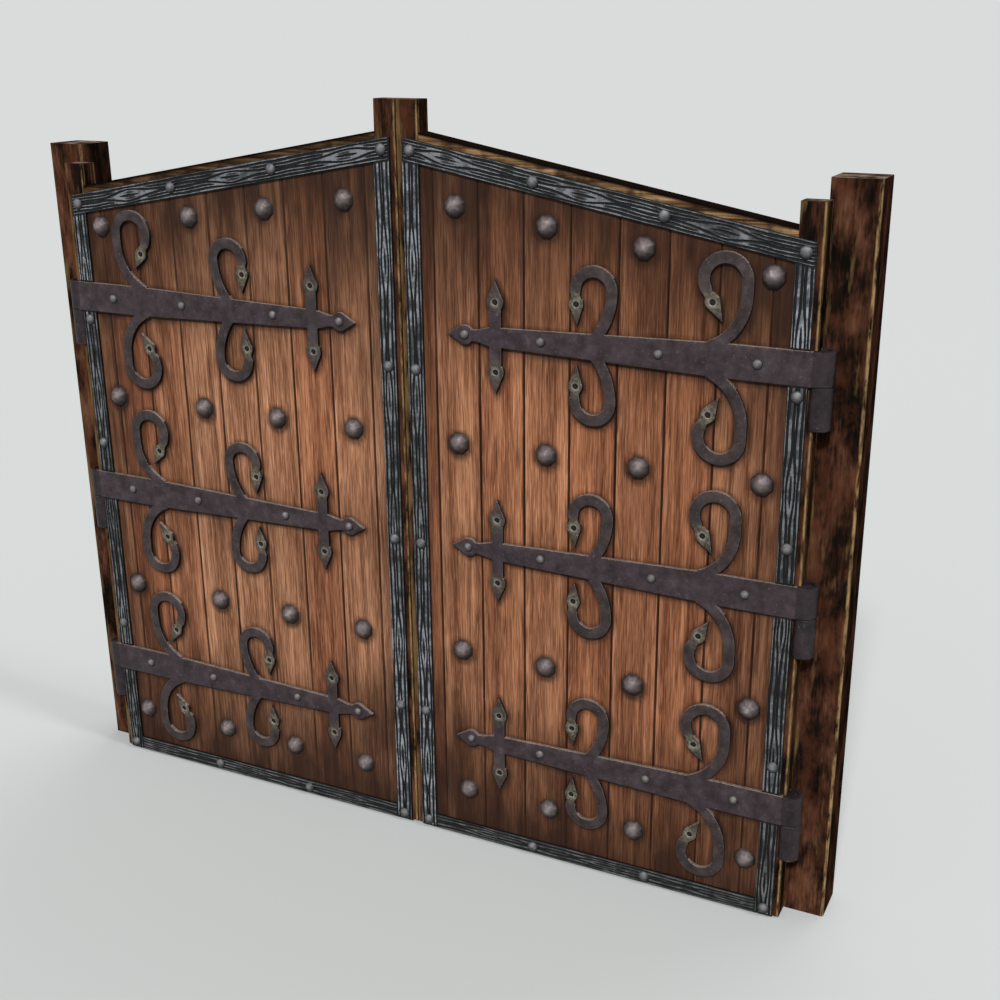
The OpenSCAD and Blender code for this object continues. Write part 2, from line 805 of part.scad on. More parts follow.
module arm(level, from) {
    arm_side = pin_x - arm_w / 2 + pin_offset / 2;
    translate([arm_side, 0, level - strap_h / 2 - seat_gap - knuckle_h / 2])
        rotate([90, 0, 90])
            linear_extrude(arm_w)
                arm_outline(from);
}

// Knuckle on the post with the pin that stands up out of it and the arm driven into the post
module pintle(level) {
    knuckle_top = level - strap_h / 2 - seat_gap;
    pin_end = seat_gap + strap_h - pin_sink;
    color("#3d353b") {
        translate([pin_x, pin_y, knuckle_top])
            rotate_extrude()
                polygon([
                    [0, -knuckle_h],
                    [eye_r - rim_chamfer, -knuckle_h],
                    [eye_r, rim_chamfer - knuckle_h],
                    [eye_r, -rim_chamfer],
                    [eye_r - rim_chamfer, 0],
                    [pin_r, 0],
                    [pin_r, pin_end - rim_chamfer],
                    [pin_r - rim_chamfer, pin_end],
                    [0, pin_end]]);
        arm(level, pin_y);
    }
}

module post() {
    inset = post_chamfer;
    color("#4a2f20")
        difference() {
            translate([post_x, post_y, 0])
                linear_extrude(post_h)
                    polygon([
                        [inset, 0],
                        [post_w - inset, 0],
                        [post_w, inset],
                        [post_w, post_w - inset],
                        [post_w - inset, post_w],
                        [inset, post_w],
                        [0, post_w - inset],
                        [0, inset]]);
            for (level = strap_levels)
                arm(level, post_y);
        }
}

// Hammered stud: an eight-sided head in three slopes, on a shank
module stud() {
    sides = 8;
    rotate(180 / sides) {
        cylinder(h = stud_foot_h, r1 = stud_r, r2 = stud_foot_r, $fn = sides);
        translate([0, 0, stud_foot_h])
            cylinder(h = stud_crown_h - stud_foot_h, r1 = stud_foot_r, r2 = stud_crown_r, $fn = sides);
        translate([0, 0, stud_crown_h])
            cylinder(h = stud_h - stud_crown_h, r1 = stud_crown_r, r2 = stud_top_r, $fn = sides);
    }
    translate([0, 0, -shank_len])
        cylinder(r = shank_r, h = shank_len);
}

module studs() {
    color("#5d565b")
        at_places(stud_places)
            stud();
}

module trim_nails() {
    color("#5d5d5c")
        at_places(concat(meeting_nails, hinge_nails, bottom_nails, top_nails), -trim_t) {
            dome(nail_r, nail_h);
            translate([0, 0, -trim_t - shank_len])
                cylinder(r = shank_r, h = trim_t + shank_len);
        }
}

// Round-headed rivets clenched on the ledges, and nails sunk in the eyes of the ironwork
module strap_nails() {
    grip = strap_t + frame_t;
    color("#5d565b") {
        at_places(all_rivets, -strap_t) {
            dome(rivet_r, rivet_h);
            translate([0, 0, -grip])
                cylinder(r = rivet_shank_r, h = grip);
            translate([0, 0, -grip])
                mirror([0, 0, 1])
                    dome(clench_r, clench_h);
        }
        at_places(all_sunk, sunk_depth - strap_t) {
            cylinder(r = sunk_r, h = sunk_head_t);
            translate([0, 0, sunk_depth - strap_t - shank_len])
                cylinder(r = shank_r, h = strap_t - sunk_depth + shank_len);
        }
    }
}

// The left half is the right half mirrored at the meeting line
module half(side) {
    translate([0, -middle_y, 0])
        if (side == "left")
            mirror([1, 0, 0])
                children();
        else
            children();
}

for (side = SIDES)
    half(side) {
        post();
        hinge_stile();
        meeting_stile();
        top_rail();
        top_trim();
        hinge_trim();
        meeting_trim();
        bottom_trim();
        studs();
        trim_nails();
        strap_nails();
        for (board = BOARDS)
            board(board);
        for (i = [0:2]) {
            pintle(strap_levels[i]);
            strap(strap_levels[i]);
            ledge(strap_levels[i]);
        }
    }
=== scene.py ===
"""Looks of a double timber gate: oiled boards, charred frame, carved trim, forged hinges, hammered studs.

Lengths are metres. The front of the gate faces -Y, its leaves meet at x = 0, and the ground is z = 0.
"""
import math
import random
from collections import namedtuple

import bmesh
import bpy
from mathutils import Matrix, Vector, noise
from mathutils.bvhtree import BVHTree


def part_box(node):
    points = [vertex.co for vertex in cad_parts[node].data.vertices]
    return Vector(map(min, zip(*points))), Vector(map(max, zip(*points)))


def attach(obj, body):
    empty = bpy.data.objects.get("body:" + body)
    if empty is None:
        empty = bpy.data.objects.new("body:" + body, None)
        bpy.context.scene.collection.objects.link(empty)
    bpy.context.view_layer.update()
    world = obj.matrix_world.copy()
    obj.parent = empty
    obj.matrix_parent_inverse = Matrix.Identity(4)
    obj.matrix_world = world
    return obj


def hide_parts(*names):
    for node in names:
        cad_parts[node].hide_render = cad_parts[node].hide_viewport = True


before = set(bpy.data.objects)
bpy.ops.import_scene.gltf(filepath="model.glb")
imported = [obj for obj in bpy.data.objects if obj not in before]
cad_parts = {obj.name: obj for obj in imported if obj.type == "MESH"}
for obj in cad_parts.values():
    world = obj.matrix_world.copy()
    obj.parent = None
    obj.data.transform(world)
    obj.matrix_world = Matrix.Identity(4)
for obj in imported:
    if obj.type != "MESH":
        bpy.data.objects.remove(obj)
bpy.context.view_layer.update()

# Names that the pieces are built from
SIDES = {"left": -1, "right": 1}
LEVELS = ("lower", "middle", "upper")
BOARD_NUMBERS = range(1, 10)

# Planes and edges of the closed leaf, from the CAD. A strap's eye stands a little proud of its flat.
EYE_PROUD = 0.0005
LEAF_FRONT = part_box("right_meeting_stile")[0].y
LEAF_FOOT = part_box("right_meeting_trim")[0].z
TRIM_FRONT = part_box("right_meeting_trim")[0].y
STRAP_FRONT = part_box("right_lower_strap")[0].y + EYE_PROUD
RIGHT_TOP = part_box("right_top_trim")
BOARDS_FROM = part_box("right_meeting_trim")[1].x
BOARDS_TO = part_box("right_hinge_trim")[0].x
BOARDS_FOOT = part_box("right_bottom_trim")[1].z

# Slope of the gate's head, and the width and upright height of the trim along it
HEAD_SLOPE = math.radians(10.4)
TOP_TRIM_W = 0.065
TOP_TRIM_DROP = TOP_TRIM_W / math.cos(HEAD_SLOPE)

# Merging of a CAD copy, and the angle past which an edge is drawn sharp
MERGE_GAP = 0.00001
FLAT_ANGLE = math.radians(1)
SHARP_ANGLE = math.radians(35)

# How near a plane a point counts as on it, and how near a vertex a cut goes through it
ON_PLANE = 0.00005
CUT_GAP = ON_PLANE / 10

X_AXIS = Vector((1, 0, 0))
Y_AXIS = Vector((0, 1, 0))
Z_AXIS = Vector((0, 0, 1))

# Sockets of the Mix node: its share, the ends for numbers, and the ends and the result for colours
MIX_SHARE = 0
NUMBER_A = 2
NUMBER_B = 3
COLOUR_A = 6
COLOUR_B = 7
COLOUR_OUT = 2

# Sizes of spots in the materials: the rail's fibres along each axis, and spots that are the same every way
RAIL_FIBRE = (0.16, 0.008, 0.008)
RAIL_BLOT = 0.055
TRIM_WEAR = 0.045
FORGE_MARK = 0.05
FORGE_PIT = 0.006
FORGE_FLECK = 0.011
HAMMER_MARK = 0.016


def clamp(value, low=0.0, high=1.0):
    return max(low, min(high, value))


def fade(value, near, far):
    """1 up to near, 0 from far on, smooth in between."""
    share = clamp((far - value) / (far - near))
    return share * share * (3 - 2 * share)


def uneven(place, spots):
    """Smooth noise at a place, with so many spots per metre along each axis."""
    return noise.noise(Vector([at * count for at, count in zip(place, spots)]))


def linear(hex_colour):
    """Linear colour with full alpha from an sRGB hex value."""
    channels = [int(hex_colour[i:i + 2], 16) / 255 for i in (1, 3, 5)]
    return [c / 12.92 if c <= 0.04045 else ((c + 0.055) / 1.055) ** 2.4 for c in channels] + [1.0]


def add(tree, kind, links=None, stops=None, **settings):
    """Adds a node. Links give each input a value or another node's output, stops fill a colour ramp."""
    node = tree.nodes.new(kind)
    for name, value in settings.items():
        setattr(node, name, value)
    for socket, value in (links or {}).items():
        if isinstance(value, bpy.types.NodeSocket):
            tree.links.new(value, node.inputs[socket])
        else:
            node.inputs[socket].default_value = value
    if stops:
        ramp = node.color_ramp.elements
        while len(ramp) < len(stops):
            ramp.new(1.0)
        for element, (position, colour) in zip(ramp, stops):
            element.position = position
            element.color = linear(colour)
    return node


def new_material(name):
    """A material with nothing in it but its shader."""
    material = bpy.data.materials.new(name)
    material.use_nodes = True
    return material, material.node_tree, material.node_tree.nodes["Principled BSDF"]


def grain(tree, across, along, detail, seed, upright=True):
    """Wood grain along Z, or along X: spots of the given width across and length along, as 0 to 1."""
    place = add(tree, "ShaderNodeTexCoord").outputs["Object"]
    scale = (1 / across, 1 / across, 1 / along) if upright else (1 / along, 1 / across, 1 / across)
    stretched = add(tree, "ShaderNodeMapping", {"Vector": place, "Location": (seed, seed, seed),
                                                "Scale": scale}).outputs[0]
    return add(tree, "ShaderNodeTexNoise", {"Vector": stretched, "Scale": 1.0, "Detail": detail,
                                            "Roughness": 0.6}).outputs["Fac"]


def oiled_oak():
    """Planed oak boards, oiled and weathered: red-brown with fine upright streaks, dirt and painted shade
    towards the edges, and a painted shadow below the iron.
    """
    material, tree, shader = new_material("oiled oak")
    # Oak's own fibres and pores are too fine to show here, so they are drawn a few millimetres wide
    fibre = grain(tree, across=0.0032, along=0.075, detail=3.0, seed=3.0)
    streak = grain(tree, across=0.020, along=0.80, detail=3.0, seed=17.0)
    pale = grain(tree, across=0.0046, along=0.085, detail=1.5, seed=41.0)
    pores = grain(tree, across=0.0026, along=0.15, detail=1.0, seed=53.0)
    blotch = grain(tree, across=0.10, along=0.30, detail=2.0, seed=29.0)
    arris_highlight, tint, dirt_and_shade = [add(tree, "ShaderNodeAttribute", attribute_name=mark).outputs["Fac"]
                          for mark in ("arris_highlight", "tint", "dirt_and_shade")]
    figure = add(tree, "ShaderNodeMath", {0: fibre, 1: streak}, operation="ADD").outputs[0]
    figure = add(tree, "ShaderNodeMath", {0: figure, 1: 0.5}, operation="MULTIPLY").outputs[0]
    wood = add(tree, "ShaderNodeValToRGB", {"Fac": figure},
               [(0.34, "#5d3b24"), (0.43, "#81553c"), (0.50, "#9d6e52"), (0.57, "#b78463"),
                (0.66, "#d5a17d")]).outputs["Color"]
    # Pale rays of the oak's grain, and a painted highlight on the strip beside a board's joint
    lit = add(tree, "ShaderNodeMath", {0: pale, 1: arris_highlight}, operation="ADD").outputs[0]
    rays_and_highlight = add(tree, "ShaderNodeMapRange", {"Value": lit, "From Min": 0.60, "From Max": 0.76,
                                            "To Max": 0.65}).outputs[0]
    wood = add(tree, "ShaderNodeMix", {MIX_SHARE: rays_and_highlight, COLOUR_A: wood, COLOUR_B: linear("#dba684")},
               data_type="RGBA").outputs[COLOUR_OUT]
    cracks = add(tree, "ShaderNodeMapRange", {"Value": pores, "From Min": 0.59, "From Max": 0.74,
                                              "To Max": 0.75}).outputs[0]
    wood = add(tree, "ShaderNodeMix", {MIX_SHARE: cracks, COLOUR_A: wood, COLOUR_B: linear("#3f2618")},
               data_type="RGBA").outputs[COLOUR_OUT]
    board = add(tree, "ShaderNodeValToRGB", {"Fac": tint},
                [(0.0, "#e4cec1"), (0.5, "#f4ebe5"), (1.0, "#ffffff")]).outputs["Color"]
    wood = add(tree, "ShaderNodeMix", {MIX_SHARE: 1.0, COLOUR_A: wood, COLOUR_B: board},
               data_type="RGBA", blend_type="MULTIPLY").outputs[COLOUR_OUT]
    patchy = add(tree, "ShaderNodeMapRange", {"Value": blotch, "From Min": 0.35, "From Max": 0.65,
                                              "To Min": -0.12, "To Max": 0.12}).outputs[0]
    # The board's dirt, painted shade and painted shadow, with random blotches, darken the wood
    dirt_and_shade_share = add(tree, "ShaderNodeMath", {0: dirt_and_shade, 1: patchy}, operation="ADD", use_clamp=True).outputs[0]
    dirt_and_shade_share = add(tree, "ShaderNodeMath", {0: dirt_and_shade_share, 1: 0.94}, operation="MULTIPLY").outputs[0]
    wood = add(tree, "ShaderNodeMix", {MIX_SHARE: dirt_and_shade_share, COLOUR_A: wood, COLOUR_B: linear("#22120a")},
               data_type="RGBA").outputs[COLOUR_OUT]
    relief = add(tree, "ShaderNodeBump", {"Height": figure, "Strength": 0.5, "Distance": 0.0015}).outputs[0]
    tree.links.new(wood, shader.inputs["Base Color"])
    tree.links.new(relief, shader.inputs["Normal"])
    shader.inputs["Roughness"].default_value = 0.62
    shader.inputs["Specular IOR Level"].default_value = 0.14
    return material


def charred_larch(name, upright):
    """Sawn larch, charred and brushed: black and red-brown patches, sides darkened by painted shade, and
    grey end grain.

    It is tan by one arris and worn pale by the other.
    """
    material, tree, shader = new_material(name)
    fibre = grain(tree, across=0.007, along=0.07, detail=3.0, seed=5.0, upright=upright)
    burn = grain(tree, across=0.085, along=0.20, detail=4.0, seed=11.0, upright=upright)
    embers = grain(tree, across=0.060, along=0.11, detail=5.0, seed=23.0, upright=upright)
    straw = grain(tree, across=0.030, along=0.16, detail=3.0, seed=37.0, upright=upright)
    chipped = grain(tree, across=0.012, along=0.055, detail=4.0, seed=47.0, upright=upright)
    worn_side = add(tree, "ShaderNodeAttribute", attribute_name="worn_side").outputs["Fac"]
    tan_side = add(tree, "ShaderNodeAttribute", attribute_name="tan_side").outputs["Fac"]
    figure = add(tree, "ShaderNodeMix", {MIX_SHARE: 0.76, NUMBER_A: fibre, NUMBER_B: burn}).outputs[0]
    wood = add(tree, "ShaderNodeValToRGB", {"Fac": figure},
               [(0.40, "#120e0c"), (0.47, "#231711"), (0.53, "#41281d"), (0.64, "#664433")]).outputs["Color"]
    red = add(tree, "ShaderNodeMapRange", {"Value": embers, "From Min": 0.50, "From Max": 0.64,
                                           "To Max": 0.52}).outputs[0]
    near = add(tree, "ShaderNodeMapRange", {"Value": tan_side, "From Min": 0.1, "From Max": 1.0,
                                            "To Min": 0.24, "To Max": 0.0}).outputs[0]
    patches = add(tree, "ShaderNodeMath", {0: straw, 1: near}, operation="ADD").outputs[0]
    tan = add(tree, "ShaderNodeMapRange", {"Value": patches, "From Min": 0.62, "From Max": 0.80,
                                           "To Max": 0.8}).outputs[0]
    worn = add(tree, "ShaderNodeValToRGB", {"Fac": worn_side},
               [(0.0, "#3c3c3c"), (0.07, "#8a8a8a"), (0.14, "#ffffff"), (0.21, "#ffffff"),
                (0.36, "#000000")]).outputs["Color"]
    kept = add(tree, "ShaderNodeMapRange", {"Value": chipped, "From Min": 0.38, "From Max": 0.62,
                                            "To Min": 0.0, "To Max": 0.95}).outputs[0]
    line = add(tree, "ShaderNodeMath", {0: worn, 1: kept}, operation="MULTIPLY").outputs[0]
    normal = add(tree, "ShaderNodeSeparateXYZ", {0: add(tree, "ShaderNodeNewGeometry").outputs["Normal"]})
    outward = add(tree, "ShaderNodeMath", {0: normal.outputs["X"]}, operation="ABSOLUTE").outputs[0]
    # Painted shade: the faces that turn along X, the sides of the timber, are darkened
    sooty_and_side_shade = add(tree, "ShaderNodeMapRange", {"Value": outward, "From Min": 0.8, "From Max": 0.95,
                                             "To Max": 0.5}).outputs[0]
    top = add(tree, "ShaderNodeMapRange", {"Value": normal.outputs["Z"], "From Min": 0.6, "From Max": 0.9,
                                           "To Max": 0.85}).outputs[0]
    end_grain = add(tree, "ShaderNodeValToRGB", {"Fac": embers},
                    [(0.36, "#1d1512"), (0.48, "#46382f"), (0.60, "#75695f")]).outputs["Color"]
    layers = [(red, linear("#523020")), (tan, linear("#6f5a38")), (line, linear("#9a7f57")),
              (sooty_and_side_shade, linear("#0d0908")), (top, end_grain)]
    for share, tone in layers:
        wood = add(tree, "ShaderNodeMix", {MIX_SHARE: share, COLOUR_A: wood, COLOUR_B: tone},
                   data_type="RGBA").outputs[COLOUR_OUT]
    relief = add(tree, "ShaderNodeBump", {"Height": figure, "Strength": 0.6, "Distance": 0.003}).outputs[0]
    tree.links.new(wood, shader.inputs["Base Color"])
    tree.links.new(relief, shader.inputs["Normal"])
    shader.inputs["Roughness"].default_value = 0.9
    shader.inputs["Specular IOR Level"].default_value = 0.0
    return material


def sawn_rail_oak():
    """Sawn oak: golden along its front arris, or stained dark, with painted shade low on its front, and
    blackened behind by the weather.
    """
    material, tree, shader = new_material("sawn oak")
    place = add(tree, "ShaderNodeTexCoord").outputs["Object"]
    lengthwise = add(tree, "ShaderNodeMapping", {"Vector": place,
                                                 "Scale": [1 / size for size in RAIL_FIBRE]})
    fibre = add(tree, "ShaderNodeTexNoise", {"Vector": lengthwise.outputs[0], "Scale": 1.0,
                                             "Detail": 4.0}).outputs["Fac"]
    blots = add(tree, "ShaderNodeTexNoise", {"Vector": place, "Scale": 1 / RAIL_BLOT,
                                             "Detail": 4.0}).outputs["Fac"]
    below = add(tree, "ShaderNodeAttribute", attribute_name="below").outputs["Fac"]
    stained = add(tree, "ShaderNodeAttribute", attribute_name="stained").outputs["Fac"]
    wood = add(tree, "ShaderNodeValToRGB", {"Fac": fibre},
               [(0.33, "#35251a"), (0.46, "#674d35"), (0.56, "#8a6c4a"), (0.70, "#ac8f6a")]).outputs["Color"]
    dark = add(tree, "ShaderNodeMapRange", {"Value": blots, "From Min": 0.50, "From Max": 0.66,
                                            "To Max": 0.85}).outputs[0]
    # Painted shade low on the front, towards the trim
    shaded = add(tree, "ShaderNodeMapRange", {"Value": below, "From Min": 0.80, "From Max": 0.96,
                                              "To Max": 0.6}).outputs[0]
    top = add(tree, "ShaderNodeMapRange", {"Value": below, "From Min": 0.64, "From Max": 0.71,
                                           "To Min": 1.0, "To Max": 0.0}).outputs[0]
    sooty_and_side_shade = add(tree, "ShaderNodeMix", {MIX_SHARE: fibre, COLOUR_A: linear("#070504"),
                                        COLOUR_B: linear("#1a110d")}, data_type="RGBA").outputs[COLOUR_OUT]
    layers = [(dark, linear("#33231a")), (shaded, linear("#2e1e14")), (stained, linear("#1c120c")),
              (top, sooty_and_side_shade)]
    for share, tone in layers:
        wood = add(tree, "ShaderNodeMix", {MIX_SHARE: share, COLOUR_A: wood, COLOUR_B: tone},
                   data_type="RGBA").outputs[COLOUR_OUT]
    relief = add(tree, "ShaderNodeBump", {"Height": fibre, "Strength": 0.4, "Distance": 0.0015}).outputs[0]
    tree.links.new(wood, shader.inputs["Base Color"])
    tree.links.new(relief, shader.inputs["Normal"])
    shader.inputs["Roughness"].default_value = 0.8
    shader.inputs["Specular IOR Level"].default_value = 0.0
    return material


def carved_bog_oak():
    """Bog oak carved along its grain: black in the cuts, partly its own colour and partly painted shade,
    rubbed to a cold silver grey on the ridges with a painted highlight along their crests.
    """
    material, tree, shader = new_material("carved bog oak")
    place = add(tree, "ShaderNodeTexCoord").outputs["Object"]
    carve = add(tree, "ShaderNodeAttribute", attribute_name="carve").outputs["Fac"]
    rubbed = add(tree, "ShaderNodeAttribute", attribute_name="rubbed").outputs["Fac"]
    wear = add(tree, "ShaderNodeTexNoise", {"Vector": place, "Scale": 1 / TRIM_WEAR, "Detail": 5.0,
                                            "Roughness": 0.7}).outputs["Fac"]
    wear = add(tree, "ShaderNodeMapRange", {"Value": wear, "From Min": 0.3, "From Max": 0.7,
                                            "To Min": -0.22, "To Max": 0.16}).outputs[0]
    height = add(tree, "ShaderNodeMath", {0: carve, 1: wear}, operation="ADD", use_clamp=True).outputs[0]
    # Black in the cuts, partly the wood's own colour and partly painted shade; rubbed grey on the ridges,
    # with a painted highlight along their crests
    wood = add(tree, "ShaderNodeValToRGB", {"Fac": height},
               [(0.40, "#030405"), (0.62, "#0d0f10"), (0.80, "#393c3f"), (0.92, "#696d72"),
                (1.0, "#9a9ea4")]).outputs["Color"]
    shade = add(tree, "ShaderNodeMix", {MIX_SHARE: rubbed, COLOUR_A: linear("#9a9793"),
                                        COLOUR_B: linear("#f4f4f4")}, data_type="RGBA").outputs[COLOUR_OUT]
    wood = add(tree, "ShaderNodeMix", {MIX_SHARE: 1.0, COLOUR_A: wood, COLOUR_B: shade},
               data_type="RGBA", blend_type="MULTIPLY").outputs[COLOUR_OUT]
    tree.links.new(wood, shader.inputs["Base Color"])
    shader.inputs["Roughness"].default_value = 0.6
    shader.inputs["Specular IOR Level"].default_value = 0.3
    return material


def forged_iron(name, tones):
    """Wrought iron, forged and waxed, dark with age: purple-grey, pale worn edges with a painted highlight
    where they turn up, painted shade underneath, and patinated heads.
    """
    material, tree, shader = new_material(name)
    place = add(tree, "ShaderNodeTexCoord").outputs["Object"]
    scale_marks = add(tree, "ShaderNodeTexNoise", {"Vector": place, "Scale": 1 / FORGE_MARK, "Detail": 5.0,
                                                   "Roughness": 0.65}).outputs["Fac"]
    pits = add(tree, "ShaderNodeTexNoise", {"Vector": place, "Scale": 1 / FORGE_PIT,
                                            "Detail": 3.0}).outputs["Fac"]
    flecks = add(tree, "ShaderNodeTexNoise", {"Vector": place, "Scale": 1 / FORGE_FLECK, "Detail": 4.0,
                                              "Roughness": 0.75}).outputs["Fac"]
    wear, soot_and_shade, head, rim, olive = [add(tree, "ShaderNodeAttribute", attribute_name=mark).outputs["Fac"]
                                    for mark in ("wear", "soot_and_shade", "head", "rim", "olive")]
    iron = add(tree, "ShaderNodeValToRGB", {"Fac": scale_marks},
               list(zip((0.30, 0.45, 0.58, 0.74), tones))).outputs["Color"]
    bronzed = add(tree, "ShaderNodeValToRGB", {"Fac": scale_marks},
                  [(0.30, "#241e1d"), (0.48, "#3b3230"), (0.66, "#524743")]).outputs["Color"]
    bronzing = add(tree, "ShaderNodeMath", {0: olive, 1: 0.6}, operation="MULTIPLY").outputs[0]
    patina = add(tree, "ShaderNodeValToRGB", {"Fac": flecks},
                 [(0.32, "#302c26"), (0.48, "#504a3f"), (0.62, "#706959"),
                  (0.75, "#979080")]).outputs["Color"]
    specks = add(tree, "ShaderNodeMapRange", {"Value": flecks, "From Min": 0.60, "From Max": 0.72,
                                              "To Max": 0.45}).outputs[0]
    broken = add(tree, "ShaderNodeMapRange", {"Value": flecks, "From Min": 0.36, "From Max": 0.60,
                                              "To Min": 0.35, "To Max": 1.0}).outputs[0]
    edge = add(tree, "ShaderNodeMath", {0: wear, 1: broken}, operation="MULTIPLY").outputs[0]
    # The worn edges carry a painted highlight, and the soot layer is mostly painted shade
    layers = [(bronzing, bronzed), (head, patina), (specks, linear("#7b706c")), (edge, linear("#c0ae9f")),
              (rim, linear("#aaa397")), (soot_and_shade, linear("#0f0b0b"))]
    for share, tone in layers:
        iron = add(tree, "ShaderNodeMix", {MIX_SHARE: share, COLOUR_A: iron, COLOUR_B: tone},
                   data_type="RGBA").outputs[COLOUR_OUT]
    rough = add(tree, "ShaderNodeMapRange", {"Value": scale_marks, "From Min": 0.3, "From Max": 0.7,
                                             "To Min": 0.45, "To Max": 0.68}).outputs[0]
    relief = add(tree, "ShaderNodeBump", {"Height": pits, "Strength": 0.35, "Distance": 0.0012}).outputs[0]
    tree.links.new(iron, shader.inputs["Base Color"])
    tree.links.new(rough, shader.inputs["Roughness"])
    tree.links.new(relief, shader.inputs["Normal"])
    shader.inputs["Metallic"].default_value = 0.55
    return material


def hammered_iron():
    """Iron heads beaten by hand and rubbed: mauve to steel grey, pale on the rubbed crown with a painted
    highlight from above, and painted shade round the rim.
    """
    material, tree, shader = new_material("hammered iron")
    place = add(tree, "ShaderNodeTexCoord").outputs["Object"]
    scale_marks = add(tree, "ShaderNodeTexNoise", {"Vector": place, "Scale": 1 / HAMMER_MARK, "Detail": 5.0,
                                                   "Roughness": 0.65}).outputs["Fac"]
    crown = add(tree, "ShaderNodeAttribute", attribute_name="crown").outputs["Fac"]
    steel = add(tree, "ShaderNodeAttribute", attribute_name="steel").outputs["Fac"]
    rubbed = add(tree, "ShaderNodeMapRange", {"Value": scale_marks, "From Min": 0.3, "From Max": 0.7,
                                              "To Min": -0.18, "To Max": 0.14}).outputs[0]
    height = add(tree, "ShaderNodeMath", {0: crown, 1: rubbed}, operation="ADD", use_clamp=True).outputs[0]
    mauve = add(tree, "ShaderNodeValToRGB", {"Fac": height},
                [(0.0, "#0f0908"), (0.38, "#2f2625"), (0.66, "#524847"), (0.88, "#716766"),
                 (1.0, "#928887")]).outputs["Color"]
    grey = add(tree, "ShaderNodeValToRGB", {"Fac": height},
               [(0.0, "#0a0a0b"), (0.40, "#2b2c2e"), (0.70, "#4c4e50"), (1.0, "#7d7f81")]).outputs["Color"]
    iron = add(tree, "ShaderNodeMix", {MIX_SHARE: steel, COLOUR_A: mauve, COLOUR_B: grey},
               data_type="RGBA").outputs[COLOUR_OUT]
    relief = add(tree, "ShaderNodeBump", {"Height": scale_marks, "Strength": 0.3,
                                          "Distance": 0.001}).outputs[0]
    tree.links.new(iron, shader.inputs["Base Color"])
    tree.links.new(relief, shader.inputs["Normal"])
    shader.inputs["Metallic"].default_value = 0.35
    shader.inputs["Roughness"].default_value = 0.58
    return material


def worked_copy(node):
    """A copy of a CAD node as one joined shell with whole flat faces and no slivers."""
    bm = bmesh.new()
    bm.from_mesh(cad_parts[node].data)
    bmesh.ops.remove_doubles(bm, verts=bm.verts, dist=MERGE_GAP)
    bmesh.ops.dissolve_degenerate(bm, dist=MERGE_GAP, edges=bm.edges)
    bmesh.ops.dissolve_limit(bm, angle_limit=FLAT_ANGLE, verts=bm.verts, edges=bm.edges)
    return bm


def cut_at(bm, axis, places):
    """Cuts a shell by planes across an axis, so that it can be painted and worn."""
    for place in places:
        everything = bm.verts[:] + bm.edges[:] + bm.faces[:]
        bmesh.ops.bisect_plane(bm, geom=everything, dist=CUT_GAP, plane_co=axis * place, plane_no=axis)


def cut_across(bm, axis, step):
    """Cuts a shell into even slices across an axis."""
    places = [vert.co.dot(axis) for vert in bm.verts]
    low, high = min(places), max(places)
    count = max(1, round((high - low) / step))
    cut_at(bm, axis, [low + i * (high - low) / count for i in range(1, count)])


def merge_in(bm, part):
    """Adds a finished shell to another."""
    mesh = bpy.data.meshes.new("part")
    part.to_mesh(mesh)
    part.free()
    bm.from_mesh(mesh)
    bpy.data.meshes.remove(mesh)


def finished(name, bm, material, body, node):
    """Turns a shell into a piece of the gate that stands for its CAD node."""
    mesh = bpy.data.meshes.new(name)
    bm.to_mesh(mesh)
    bm.free()
    mesh.materials.append(material)
    mesh.shade_smooth()
    mesh.set_sharp_from_angle(angle=SHARP_ANGLE)
    piece = bpy.data.objects.new(name, mesh)
    bpy.context.scene.collection.objects.link(piece)
    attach(piece, body)
    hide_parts(node)


def solids_of(node):
    """Lowest and highest corner of each separate solid of a CAD node, from the ground up."""
    bm = worked_copy(node)
    boxes = []
    seen = set()
    for start in bm.verts:
        if start in seen:
            continue
        seen.add(start)
        group = [start]
        for vert in group:
            for edge in vert.link_edges:
                other = edge.other_vert(vert)
                if other not in seen:
                    seen.add(other)
                    group.append(other)
        columns = list(zip(*(vert.co for vert in group)))
        boxes.append((Vector([min(c) for c in columns]), Vector([max(c) for c in columns])))
    bm.free()
    return sorted(boxes, key=lambda box: (round(box[0].z, 4), box[0].x))


# Boards: cells for painting, the dark line at a joint, and the strip beside it with a painted highlight
BOARD_CELL = 0.012
BOARD_CELL_Z = 0.014
JOINT_LINE = 0.0005
ARRIS_STRIP = (0.004, 0.016)
LIT_EDGES = (0.0, 0.10, 0.22)

# Dirt and painted shade on a board: its share, then how far from what gathers it the darkening is full and
# where it ends
TOP_DIRT_AND_SHADE = (0.94, -0.08, 0.58)
FOOT_DIRT_AND_SHADE = (0.97, -0.05, 0.58)
HINGE_DIRT_AND_SHADE = (0.62, 0.0, 0.26)
MEETING_DIRT_AND_SHADE = (0.40, 0.0, 0.10)
# The straps and studs cast a painted shadow on the boards, looked up a little above each point so that it
# falls below the iron
IRON_SHADOW = (0.85, 0.002, 0.021)
STRAP_DIRT_AND_SHADE = (0.20, 0.0, 0.10)
BACK_GRIME = 0.22
SHADOW_DROP = Vector((0, 0, 0.007))
STRAP_HALF_W = 0.05

# Painted shade and dirt in the corners by the meeting trim, and painted shade outside the lit middle of a
# leaf
CORNER_SHARE = 0.80
CORNER_HEIGHT = (0.0, 0.75)
CORNER_WIDTH = (0.0, 0.36)
LIT_MIDDLE_SHARE = 0.24
LIT_MIDDLE_AT = (0.45, 1.33)
LIT_MIDDLE_REACH = (0.45, 0.42)
LIT_MIDDLE_EDGE = (0.3, 1.0)


